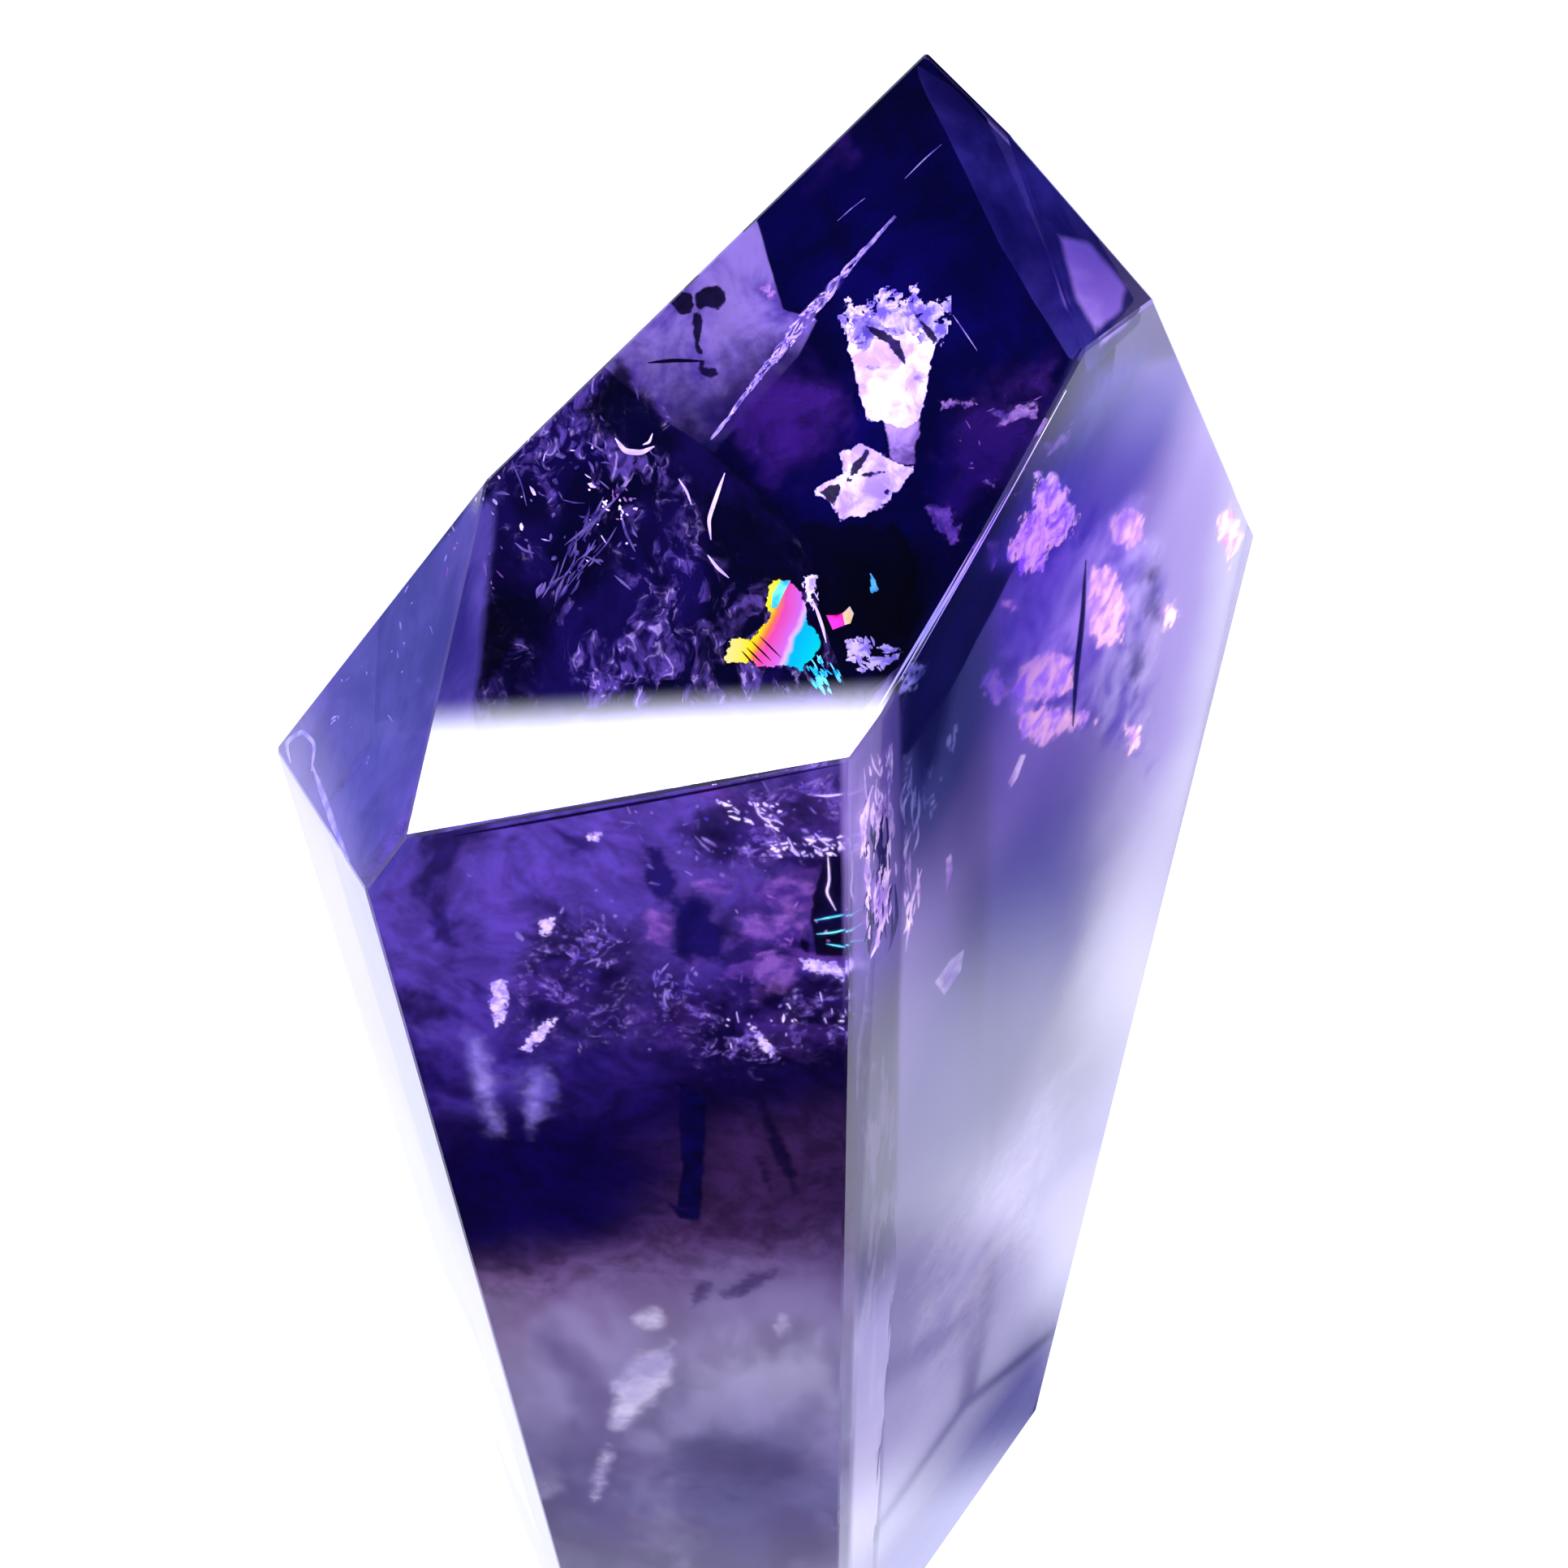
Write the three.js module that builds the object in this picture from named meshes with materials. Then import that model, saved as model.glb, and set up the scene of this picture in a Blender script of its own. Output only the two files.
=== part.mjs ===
// A polished amethyst point: one quartz crystal with a six-sided prism, a six-faced tip and a cut base.
//
// Millimetres, +Z up. The crystal stands on z = 0, with the origin at the middle of its base.
// The broad front face looks along -Y, towards the viewer.

import * as THREE from 'three';

// Driving dimensions.
const HEIGHT = 148; // base to the tip's sharp corner
const PRISM_DEPTH = 52; // between the front face and the back face
const EDGE_FLAT = 0.2; // width of the fine flat that polishing leaves along an edge
const BASE_BEVEL = 2; // width of the bevel round the cut base
const CHIP_DEPTH = 0.15; // how far the chip cuts into the left shoulder's corner

// Numerical limits.
const TOLERANCE = 1e-6; // how far a point may be off a plane and still lie on it
const SAME_POINT = 1e-4; // corners closer than this are one corner

// The prism's faces, in order round the crystal. azimuth is the direction that a face looks, in
// degrees from +X towards +Y. reach is its distance from the upright axis at the shoulder's height.
// lean is how far its normal tips up, in degrees: a face that leans spreads towards the base.
const SHOULDER = 116;
const FRONT_REACH = 26.08;
const PRISM = {
  front: { azimuth: -91.8, reach: FRONT_REACH, lean: 0 },
  frontStrip: { azimuth: -48, reach: 21.34, lean: 0.5 }, // narrow worn strip down the front corner
  frontRight: { azimuth: -39.2, reach: 19.01, lean: 0.5 },
  right: { azimuth: 20.4, reach: 29.15, lean: -1.4 },
  back: { azimuth: 88.2, reach: PRISM_DEPTH - FRONT_REACH, lean: 0 },
  left: { azimuth: 149.6, reach: 20.43, lean: 0 },
  frontLeft: { azimuth: -150.4, reach: 29.76, lean: 0 },
};

// The tip's faces. rise is the angle of a face's outward normal above the horizon, and above is the
// height over the tip at which its plane crosses the upright axis, negative where it crosses lower.
// The front, right and left faces are the large ones that meet at the tip.
const TIP = {
  front: { azimuth: -109.9, rise: 50, above: -0.3 },
  frontRight: { azimuth: -38.2, rise: 52, above: 6.83 },
  right: { azimuth: 24.1, rise: 37, above: 6.9 },
  back: { azimuth: 88, rise: 38, above: 10 },
  left: { azimuth: 147.4, rise: 36.4, above: -8.56 },
  frontLeft: { azimuth: -162.8, rise: 33.2, above: 11.39 },
};

// A plane whose outward normal looks towards azimuth and rises above the horizon. It passes through
// the point at that azimuth, reach from the upright axis and at the given height.
function facing(azimuth, rise, reach, height) {
  const around = THREE.MathUtils.degToRad(azimuth);
  const up = THREE.MathUtils.degToRad(rise);
  const out = new THREE.Vector3(Math.cos(around), Math.sin(around), 0);
  const normal = out.clone().multiplyScalar(Math.cos(up)).setZ(Math.sin(up));
  return new THREE.Plane().setFromNormalAndCoplanarPoint(normal, out.multiplyScalar(reach).setZ(height));
}

function prismFace({ azimuth, reach, lean }) {
  return facing(azimuth, lean, reach, SHOULDER);
}

function tipFace({ azimuth, rise, above }) {
  return facing(azimuth, rise, 0, HEIGHT + above);
}

// The point where three planes meet, or null where two of them are parallel.
function meetingPoint(a, b, c) {
  const bc = b.normal.clone().cross(c.normal);
  const ca = c.normal.clone().cross(a.normal);
  const ab = a.normal.clone().cross(b.normal);
  const volume = a.normal.dot(bc);
  if (Math.abs(volume) < TOLERANCE) return null;
  return bc
    .multiplyScalar(-a.constant)
    .addScaledVector(ca, -b.constant)
    .addScaledVector(ab, -c.constant)
    .divideScalar(volume);
}

// Every corner of the solid that lies behind all of the planes.
function cornersOf(planes) {
  const corners = [];
  for (let i = 0; i < planes.length; i += 1) {
    for (let j = i + 1; j < planes.length; j += 1) {
      for (let k = j + 1; k < planes.length; k += 1) {
        const point = meetingPoint(planes[i], planes[j], planes[k]);
        if (point === null) continue;
        const inside = planes.every((plane) => plane.distanceToPoint(point) < TOLERANCE);
        const known = corners.some((corner) => corner.distanceTo(point) < SAME_POINT);
        if (inside && !known) corners.push(point);
      }
    }
  }
  return corners;
}

function cornersOn(plane, corners) {
  return corners.filter((corner) => Math.abs(plane.distanceToPoint(corner)) < SAME_POINT);
}

// The flat that cuts back the edge between two faces until it is as wide as asked.
function edgeFlat(a, b, width) {
  const halfTurn = a.normal.angleTo(b.normal) / 2;
  const depth = (width / 2) * Math.tan(halfTurn);
  const sum = a.normal.clone().add(b.normal);
  const length = sum.length();
  return new THREE.Plane(sum.divideScalar(length), (a.constant + b.constant) / length + depth);
}

// A fine flat along each edge where two of the faces meet.
function polishedEdges(faces) {
  const corners = cornersOf([...faces, base]);
  const flats = [];
  faces.forEach((face, index) => {
    const shared = cornersOn(face, corners);
    faces.slice(index + 1).forEach((other) => {
      if (cornersOn(other, shared).length > 1) flats.push(edgeFlat(face, other, EDGE_FLAT));
    });
  });
  return flats;
}

// A small flat that takes the corner off where the given faces meet.
function chippedCorner(faces, depth) {
  const corner = meetingPoint(...faces);
  const normal = new THREE.Vector3();
  faces.forEach((face) => normal.add(face.normal));
  normal.normalize();
  return new THREE.Plane(normal, depth - normal.dot(corner));
}

// The corners of one face in order round it, seen from outside.
function outlineOf(plane, corners) {
  const outline = cornersOn(plane, corners);
  const middle = new THREE.Vector3();
  outline.forEach((corner) => middle.addScaledVector(corner, 1 / outline.length));
  const across = outline[0].clone().sub(middle).normalize();
  const up = plane.normal.clone().cross(across);
  const turn = (corner) => {
    const arm = corner.clone().sub(middle);
    return Math.atan2(arm.dot(up), arm.dot(across));
  };
  return outline.sort((a, b) => turn(a) - turn(b));
}

// The closed solid behind the planes, each face as a fan of triangles.
function solidBehind(planes) {
  const corners = cornersOf(planes);
  const positions = [];
  planes.forEach((plane) => {
    const onFace = cornersOn(plane, corners);
    if (onFace.length < 3) return;
    const outline = outlineOf(plane, corners);
    for (let i = 1; i < outline.length - 1; i += 1) {
      positions.push(...outline[0].toArray(), ...outline[i].toArray(), ...outline[i + 1].toArray());
    }
  });
  const geometry = new THREE.BufferGeometry();
  geometry.setAttribute('position', new THREE.Float32BufferAttribute(positions, 3));
  geometry.computeVertexNormals();
  return geometry;
}

// Puts the middle of the base's box over the origin.
function centred(geometry) {
  geometry.computeBoundingBox();
  const middle = geometry.boundingBox.getCenter(new THREE.Vector3());
  return geometry.translate(-middle.x, -middle.y, 0);
}

const base = facing(0, -90, 0, 0);
const prism = Object.values(PRISM).map(prismFace);
const tip = Object.values(TIP).map(tipFace);
const faces = [...prism, ...tip];
const baseBevels = prism.map((face) => edgeFlat(face, base, BASE_BEVEL));
const leftShoulder = [prismFace(PRISM.left), prismFace(PRISM.frontLeft), tipFace(TIP.frontLeft)];
const chip = chippedCorner(leftShoulder, CHIP_DEPTH);

const crystal = new THREE.Mesh(
  centred(solidBehind([...faces, base, ...polishedEdges(faces), ...baseBevels, chip])),
  new THREE.MeshStandardMaterial({ color: 0x5b43a6, roughness: 0.05, metalness: 0 }),
);
crystal.name = 'amethyst_point';

const part = new THREE.Group();
part.add(crystal);

export default part;
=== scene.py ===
"""Looks of the amethyst point: clear violet quartz with its colour zones, fractures, veils and flecks.

Lengths are in millimetres until they become mesh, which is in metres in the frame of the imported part:
+Z up, the crystal standing on z = 0, its broad front face towards -Y. Pixels are of the 1932 x 1932 photo.
"""
import math
import random

import bpy
import numpy as np
from mathutils import Matrix, Vector, noise
from mathutils.bvhtree import BVHTree


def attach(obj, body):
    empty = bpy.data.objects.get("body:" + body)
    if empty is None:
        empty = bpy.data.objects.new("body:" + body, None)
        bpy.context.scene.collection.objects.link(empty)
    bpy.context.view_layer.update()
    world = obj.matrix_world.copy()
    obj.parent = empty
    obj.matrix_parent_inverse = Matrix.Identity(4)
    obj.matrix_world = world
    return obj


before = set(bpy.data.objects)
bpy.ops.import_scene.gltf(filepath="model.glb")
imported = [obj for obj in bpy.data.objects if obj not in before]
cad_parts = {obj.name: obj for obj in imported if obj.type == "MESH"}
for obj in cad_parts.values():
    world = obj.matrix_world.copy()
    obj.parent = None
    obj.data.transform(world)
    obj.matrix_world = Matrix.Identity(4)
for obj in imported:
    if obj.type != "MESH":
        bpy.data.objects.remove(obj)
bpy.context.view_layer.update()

MM = 0.001
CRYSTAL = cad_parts["amethyst_point"]
HEIGHT = 148
QUARTZ_IOR = 1.544

# The camera stands close above the tip and looks down on it.
PHOTO_SIDE = 1932
FOCAL_PIXELS = 1929.6
SENSOR_MM = 36
CAMERA_AT = Vector((-0.19, -74.5, 173.38))
CAMERA_PITCH = math.radians(44.2)
CAMERA_ROLL = math.radians(-0.44)

# The colour changes across the crystal at this height: violet above, pale below.
ZONE_HEIGHT = 88

# Inclusions stay this far under the crystal's surface.
SKIN = 0.3
TINY = 1e-6

# Sheets come as near the surface as this all round, and go at most ROOM_SHARE of the way through the crystal.
SHEET_SKIN = 0.15
ROOM_SHARE = 0.85


def tone(red, green, blue):
    """A colour as it shows on a screen, 0 to 255, as the linear values that shaders take."""
    return tuple(((value / 255 + 0.055) / 1.055) ** 2.4 for value in (red, green, blue))


def camera_axes():
    """The camera's right, up and forward directions."""
    forward = Vector((0, math.cos(CAMERA_PITCH), -math.sin(CAMERA_PITCH)))
    level = Vector((1, 0, 0))
    over = Vector((0, math.sin(CAMERA_PITCH), math.cos(CAMERA_PITCH)))
    right = level * math.cos(CAMERA_ROLL) + over * math.sin(CAMERA_ROLL)
    up = over * math.cos(CAMERA_ROLL) - level * math.sin(CAMERA_ROLL)
    return right, up, forward


def make_camera():
    right, up, forward = camera_axes()
    data = bpy.data.cameras.new("camera")
    data.sensor_width = SENSOR_MM
    data.lens = SENSOR_MM * FOCAL_PIXELS / PHOTO_SIDE
    data.clip_start = 5 * MM
    camera = bpy.data.objects.new("camera", data)
    bpy.context.collection.objects.link(camera)
    matrix = Matrix((right, up, -forward)).transposed().to_4x4()
    matrix.translation = CAMERA_AT * MM
    camera.matrix_world = matrix
    bpy.context.scene.camera = camera


def sight(pixels):
    """The camera's view directions through pixels of the photo."""
    right, up, forward = (np.array(axis) for axis in camera_axes())
    offset = (np.asarray(pixels, float) - PHOTO_SIDE / 2) / FOCAL_PIXELS
    ray = forward + offset[..., :1] * right - offset[..., 1:] * up
    return ray / np.linalg.norm(ray, axis=-1, keepdims=True)


class Window:
    """One flat face of the crystal that the camera looks in through, found by a pixel that shows it."""

    def __init__(self, pixel):
        start = CAMERA_AT * MM
        hit, normal, index, distance = CRYSTAL_SKIN.ray_cast(start, Vector(sight(pixel)))
        self.normal = np.array(normal)
        self.offset = self.normal @ np.array(hit) / MM

    def inside(self, pixels, depth):
        """The points that show at these pixels, depth mm along the bent ray behind the face."""
        ray = sight(pixels)
        start = np.array(CAMERA_AT)
        facing = ray @ self.normal
        distance = (self.offset - start @ self.normal) / facing
        surface = start + distance[..., None] * ray
        inner = np.sqrt(1 - (1 - facing ** 2) / QUARTZ_IOR ** 2)
        bent = ray / QUARTZ_IOR - (facing / QUARTZ_IOR + inner)[..., None] * self.normal
        return surface + np.asarray(depth, float)[..., None] * bent


def crystal_planes():
    """The outward normal and offset, in mm, of each face of the crystal."""
    mesh = CRYSTAL.data
    turn = CRYSTAL.matrix_world.to_3x3()
    normals = []
    offsets = []
    for face in mesh.polygons:
        normal = (turn @ face.normal).normalized()
        corner = CRYSTAL.matrix_world @ mesh.vertices[face.vertices[0]].co
        normals.append(normal)
        offsets.append(normal.dot(corner) / MM)
    return np.array(normals), np.array(offsets)


def within(points, margin=SKIN):
    """True for each point that is at least margin mm under the crystal's surface."""
    normals, offsets = PLANES
    return (points @ normals.T < offsets - margin).all(axis=-1)


def rim_distance(points, outline):
    """How far, in pixels, each point is inside the outline; less than 0 outside it."""
    nearest = np.full(points.shape[:-1], np.inf)
    inside = np.zeros(points.shape[:-1], bool)
    x, y = points[..., 0], points[..., 1]
    for start, end in zip(outline, np.roll(outline, -1, axis=0)):
        side = end - start
        along = ((points - start) @ side / (side @ side)).clip(0, 1)
        away = np.linalg.norm(points - start - along[..., None] * side, axis=-1)
        nearest = np.minimum(nearest, away)
        crosses = (start[1] > y) != (end[1] > y)
        if side[1] != 0:
            inside ^= crosses & (x < start[0] + (y - start[1]) * side[0] / side[1])
    return np.where(inside, nearest, -nearest)


class Piece:
    """One named piece of inclusions, gathered in mm and then made into a mesh."""

    def __init__(self, name, material):
        self.name = name
        self.material = material
        self.points = []
        self.faces = []
        self.rims = []

    def add(self, points, faces, rims):
        first = len(self.points)
        self.points.extend(points)
        self.rims.extend(rims)
        self.faces.extend([tuple(first + corner for corner in face) for face in faces])

    def finish(self):
        mesh = bpy.data.meshes.new(self.name)
        mesh.from_pydata([Vector(point) * MM for point in self.points], [], self.faces)
        layer = mesh.uv_layers.new(name="rim")
        for loop in mesh.loops:
            layer.data[loop.index].uv = self.rims[loop.vertex_index]
        mesh.materials.append(self.material)
        mesh.update()
        for face in mesh.polygons:
            face.use_smooth = True
        piece = bpy.data.objects.new(self.name, mesh)
        bpy.context.collection.objects.link(piece)
        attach(piece, "root")


def room_behind(window, pixels):
    """How far, in mm, the bent ray through each pixel runs inside the crystal before it comes near the skin."""
    normals, offsets = PLANES
    start = window.inside(pixels, np.zeros(pixels.shape[:-1]))
    step = window.inside(pixels, np.ones(pixels.shape[:-1])) - start
    speed = step @ normals.T
    gap = offsets - SHEET_SKIN - start @ normals.T
    return np.where(speed > TINY, gap / np.maximum(speed, TINY), np.inf).min(axis=-1)


def pulled_in(pixels, centre, place):
    """Moves each pixel just so far towards the centre that its place is inside the crystal."""
    out = np.zeros(pixels.shape[:-1])
    inner = np.ones(pixels.shape[:-1])
    inner[within(place(pixels), SHEET_SKIN)] = 0
    for _ in range(10):
        middle = (out + inner) / 2
        good = within(place(pixels + middle[..., None] * (centre - pixels)), SHEET_SKIN)
        inner = np.where(good, middle, inner)
        out = np.where(good, out, middle)
    return pixels + inner[..., None] * (centre - pixels)


def add_sheet(piece, window, outline, depth, bulge=0.0, ripple=1.0, tilt=(0.0, 0.0), step=7):
    """Adds a thin curved sheet, such as one wall of a healed fracture or a veil of fine fluid drops.

    Its outline is in pixels of the photo. It lies depth mm behind the window, nearer by bulge in its
    middle, waves by ripple mm, and tilts by so many mm per 100 pixels to the right and down. Where
    the crystal is too thin for that, it follows the skin, and where the outline leaves the crystal it
    ends at the skin. Its UV map holds the distance from the rim, in 100 pixels, and the place down.
    """
    outline = np.array(outline, float)
    low = outline.min(axis=0) - step
    high = outline.max(axis=0) + step
    columns = np.arange(low[0], high[0] + step, step)
    rows = np.arange(low[1], high[1] + step, step)
    pixels = np.stack(np.meshgrid(columns, rows), axis=-1)
    rim = rim_distance(pixels, outline)
    centre = outline.mean(axis=0)
    wave = np.array([[noise.noise(Vector((x / 70, y / 70, depth))) for x in columns] for y in rows])
    rise = (rim / max(rim.max(), 1)).clip(0, 1)

    def place(spots):
        lean = ((spots - centre) / 100) @ np.array(tilt)
        wanted = depth + ripple * wave - bulge * np.sqrt(rise) + lean
        return window.inside(spots, np.minimum(wanted, ROOM_SHARE * room_behind(window, spots)))

    inside = within(place(pixels), SHEET_SKIN)
    points = place(pulled_in(pixels, centre, place))
    kept = (rim > -step * 1.5) & within(points, SHEET_SKIN - TINY)
    numbers = np.full(kept.shape, -1)
    numbers[kept] = np.arange(kept.sum())
    down = (pixels[..., 1] - low[1]) / (high[1] - low[1])
    rims = np.stack([rim / 100, down], axis=-1)[kept]
    faces = []
    for row in range(len(rows) - 1):
        for column in range(len(columns) - 1):
            block = (slice(row, row + 2), slice(column, column + 2))
            if numbers[block].min() >= 0 and inside[block].any():
                faces.append((int(numbers[row, column]), int(numbers[row + 1, column]),
                              int(numbers[row + 1, column + 1]), int(numbers[row, column + 1])))
    used = sorted({corner for face in faces for corner in face})
    renumber = {corner: index for index, corner in enumerate(used)}
    faces = [tuple(renumber[corner] for corner in face) for face in faces]
    piece.add(points[kept][used].tolist(), faces, rims[used].tolist())


def add_flake(piece, window, ring, depth, thickness, lean=0.0):
    """Adds a closed flake: a ring of pixels, its front and back apex thickness mm apart, one end deeper by lean."""
    ring = np.array(ring, float)
    centre = ring.mean(axis=0)
    reach = np.abs(ring - centre).max() or 1
    depths = depth + lean * (ring[:, 1] - centre[1]) / reach
    points = np.vstack([
        window.inside(ring, depths),
        window.inside(centre[None], np.array([depth - thickness / 2])),
        window.inside(centre[None], np.array([depth + thickness / 2])),
    ])
    if not within(points).all():
        return
    count = len(ring)
    faces = []
    for corner in range(count):
        following = (corner + 1) % count
        faces.append((corner, following, count))
        faces.append((following, corner, count + 1))
    piece.add(points.tolist(), faces, [(1.0, 0.5)] * (count + 2))


def splinter_ring(rng, centre, length, width, heading):
    """The outline of an irregular splinter, in pixels. heading is its long axis in degrees, clockwise from right."""
    turn = math.radians(heading)
    along = np.array([math.cos(turn), math.sin(turn)])
    across = np.array([-along[1], along[0]])
    corners = 7
    ring = []
    for corner in range(corners):
        angle = 2 * math.pi * (corner + rng.uniform(-0.3, 0.3)) / corners
        reach = rng.uniform(0.5, 1.0)
        ring.append(centre + along * math.cos(angle) * length / 2 * reach
                    + across * math.sin(angle) * width / 2 * reach)
    return ring


def spots_in(rng, region, count):
    """Random pixels inside an outline of the photo."""
    region = np.array(region, float)
    low, high = region.min(axis=0), region.max(axis=0)
    spots = []
    while len(spots) < count:
        spot = np.array([rng.uniform(low[0], high[0]), rng.uniform(low[1], high[1])])
        if rim_distance(spot[None], region)[0] > 0:
            spots.append(spot)
    return spots


def mostly_small(rng, low, high):
    """A random size between low and high, most often near low."""
    return low + (high - low) * rng.random() ** 3


def scatter(piece, window, rng, region, count, length, width, heading, swing, depth):
    """Adds splinters at random places of a region. length, width and depth are (low, high), in pixels and mm."""
    for centre in spots_in(rng, region, count):
        ring = splinter_ring(rng, centre, mostly_small(rng, *length), mostly_small(rng, *width),
                             heading + rng.uniform(-swing, swing))
        add_flake(piece, window, ring, rng.uniform(*depth), 0.3, lean=rng.uniform(-0.5, 0.5))


def add_arcs(piece, window, rng, region, count, length, width, heading, swing, depth):
    """Adds fine bent threads at random places of a region, as the edges of small curved cracks."""
    for centre in spots_in(rng, region, count):
        turn = math.radians(heading + rng.uniform(-swing, swing))
        along = np.array([math.cos(turn), math.sin(turn)])
        across = np.array([-along[1], along[0]])
        reach = mostly_small(rng, *length) / 2
        bend = reach * rng.uniform(-0.3, 0.3)
        path = [centre - along * reach, centre + across * bend, centre + along * reach]
        start = rng.uniform(*depth)
        add_strand(piece, window, path, (start, start + rng.uniform(-0.5, 0.5)), rng.uniform(*width))


def add_strand(piece, window, pixels, depth, width, skin=SKIN):
    """Adds a fine curved strand through pixels of the photo, depth mm in and width pixels wide."""
    pixels = np.array(pixels, float)
    steps = 8 * (len(pixels) - 1) + 1
    spots = np.linspace(0, len(pixels) - 1, steps)
    path = np.stack([np.interp(spots, range(len(pixels)), pixels[:, axis]) for axis in (0, 1)], axis=-1)
    for _ in range(4):
        path[1:-1] = (path[:-2] + 2 * path[1:-1] + path[2:]) / 4
    depths = np.interp(spots, (0, len(pixels) - 1), depth)
    direction = np.gradient(path, axis=0)
    direction /= np.linalg.norm(direction, axis=1, keepdims=True)
    across = np.stack([-direction[:, 1], direction[:, 0]], axis=-1)
    share = np.linspace(0, 1, steps)
    half = width / 2 * np.sin(np.pi * share.clip(0.04, 0.96)) ** 0.6
    sides = [(1, 0), (0, 1), (-1, 0), (0, -1)]
    points = []
    for over, back in sides:
        points.append(window.inside(path + across * (half * over)[:, None], depths + back * half * 0.05))
    points = np.stack(points, axis=1).reshape(-1, 3)
    if not within(points, skin).all():
        return
    faces = [(3, 2, 1, 0)]
    last = 4 * (steps - 1)
    faces.append((last, last + 1, last + 2, last + 3))
    for ring in range(steps - 1):
        for side in range(4):
            here = 4 * ring + side
            beside = 4 * ring + (side + 1) % 4
            faces.append((here, beside, beside + 4, here + 4))
    piece.add(points.tolist(), faces, [(1.0, 0.5)] * len(points))


class Shader:
    """A material's node tree, with short calls to add and join nodes."""

    def __init__(self, name):
        self.material = bpy.data.materials.new(name)
        self.material.use_nodes = True
        self.tree = self.material.node_tree
        self.tree.nodes.clear()
        self.output = self.tree.nodes.new("ShaderNodeOutputMaterial")

    def node(self, kind, settings=None, **inputs):
        """A node of a kind such as "TexNoise". Inputs are numbers, colours or other nodes' sockets."""
        made = self.tree.nodes.new("ShaderNode" + kind)
        for key, value in (settings or {}).items():
            setattr(made, key, value)
        for key, value in inputs.items():
            self.feed(made.inputs[key.replace("_", " ")], value)
        return made

    def feed(self, socket, value):
        if isinstance(value, bpy.types.NodeSocket):
            self.tree.links.new(value, socket)
        else:
            socket.default_value = value

    def place(self):
        """Where a point is in the crystal, in metres."""
        return self.node("TexCoord").outputs["Object"]

    def parts(self, vector):
        return self.node("SeparateXYZ", Vector=vector).outputs

    def rim(self):
        """The distance from a sheet's rim and the place down the sheet."""
        return self.parts(self.node("UVMap", {"uv_map": "rim"}).outputs["UV"])

    def noise(self, scale, detail=3, roughness=0.5, distortion=0.0, at=None):
        """Smooth noise from 0 to 1, scale being its repeats per metre."""
        settings = {"noise_dimensions": "3D"}
        made = self.node("TexNoise", settings, Scale=scale, Detail=detail, Roughness=roughness,
                         Distortion=distortion, Vector=at or self.place())
        return made.outputs["Fac"]

    def stretched(self, x, y, z):
        """Where a point is, each axis scaled by its own factor."""
        return self.node("Mapping", Vector=self.place(), Scale=(x, y, z)).outputs[0]

    def math(self, operation, a, b=0.0, clamp=False):
        made = self.tree.nodes.new("ShaderNodeMath")
        made.operation = operation
        made.use_clamp = clamp
        self.feed(made.inputs[0], a)
        self.feed(made.inputs[1], b)
        return made.outputs[0]

    def spread(self, value, low, high, to_low=0.0, to_high=1.0):
        """Maps low..high to to_low..to_high with soft ends."""
        made = self.node("MapRange", {"interpolation_type": "SMOOTHSTEP"})
        for socket, number in zip(made.inputs[:5], (value, low, high, to_low, to_high)):
            self.feed(socket, number)
        return made.outputs[0]

    def ramp(self, value, stops):
        """A colour for each value, from (position, colour) stops."""
        made = self.node("ValToRGB", Fac=value)
        ramp = made.color_ramp
        while len(ramp.elements) < len(stops):
            ramp.elements.new(0.5)
        for element, (position, colour) in zip(ramp.elements, stops):
            element.position = position
            element.color = (*colour, 1)
        return made.outputs["Color"]

    def mix(self, amount, a, b, blend="MIX"):
        made = self.node("Mix", {"data_type": "RGBA", "blend_type": blend})
        self.feed(made.inputs[0], amount)
        self.feed(made.inputs[6], a if isinstance(a, bpy.types.NodeSocket) else (*a, 1))
        self.feed(made.inputs[7], b if isinstance(b, bpy.types.NodeSocket) else (*b, 1))
        return made.outputs[2]

    def finish(self, surface, volume=None):
        self.tree.links.new(surface, self.output.inputs["Surface"])
        if volume is not None:
            self.tree.links.new(volume, self.output.inputs["Volume"])
        self.material.cycles.emission_sampling = "NONE"
        return self.material


# The faces as the photo shows them, each found by one of its pixels.
graph = bpy.context.evaluated_depsgraph_get()
CRYSTAL_SKIN = BVHTree.FromObject(CRYSTAL, graph)
PLANES = crystal_planes()
FRONT_TIP = Window((1000, 700))
FRONT = Window((750, 1400))
STRIP = Window((1075, 1000))
RIGHT = Window((1280, 1000))
LEFT_TIP = Window((450, 850))
RIGHT_TIP = Window((1330, 300))

# Tints of the clear quartz, as the share of each colour that gets through two faces.
VIOLET_TINT = (0.38, 0.25, 0.66)
PALE_TINT = (0.97, 0.94, 0.97)

# The violet fades out from PALE_FROM to PALE_TO towards the right side, in mm across.
PALE_FROM = 14
PALE_TO = 22

# The foot of the crystal is a little darker, from FOOT_LOW to FOOT_HIGH mm up.
FOOT_TINT = (0.06, 0.055, 0.21)
FOOT_LOW = 18
FOOT_HIGH = 44

# Colour zones: the window and the pixel that show the middle, the reach across, back and up in mm, and the tint.
ZONES = {
    "top light": (RIGHT, (1400, 420), (12, 12, 9), (0.80, 0.74, 0.98)),
    "upper shade": (RIGHT, (1345, 570), (14, 14, 8), (0.045, 0.035, 0.30)),
    "violet shade": (RIGHT, (1215, 760), (11, 12, 15), (0.030, 0.008, 0.27)),
    "slate": (RIGHT, (1230, 1215), (20, 19, 34), (0.034, 0.032, 0.16)),
    "navy wedge": (RIGHT, (1150, 905), (8, 9, 13), (0.006, 0.009, 0.06)),
    "left tip": (LEFT_TIP, (470, 850), (9, 11, 9), (0.26, 0.22, 0.56)),
    "right tip": (RIGHT_TIP, (1300, 250), (10, 10, 9), (0.10, 0.09, 0.40)),
}

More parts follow.
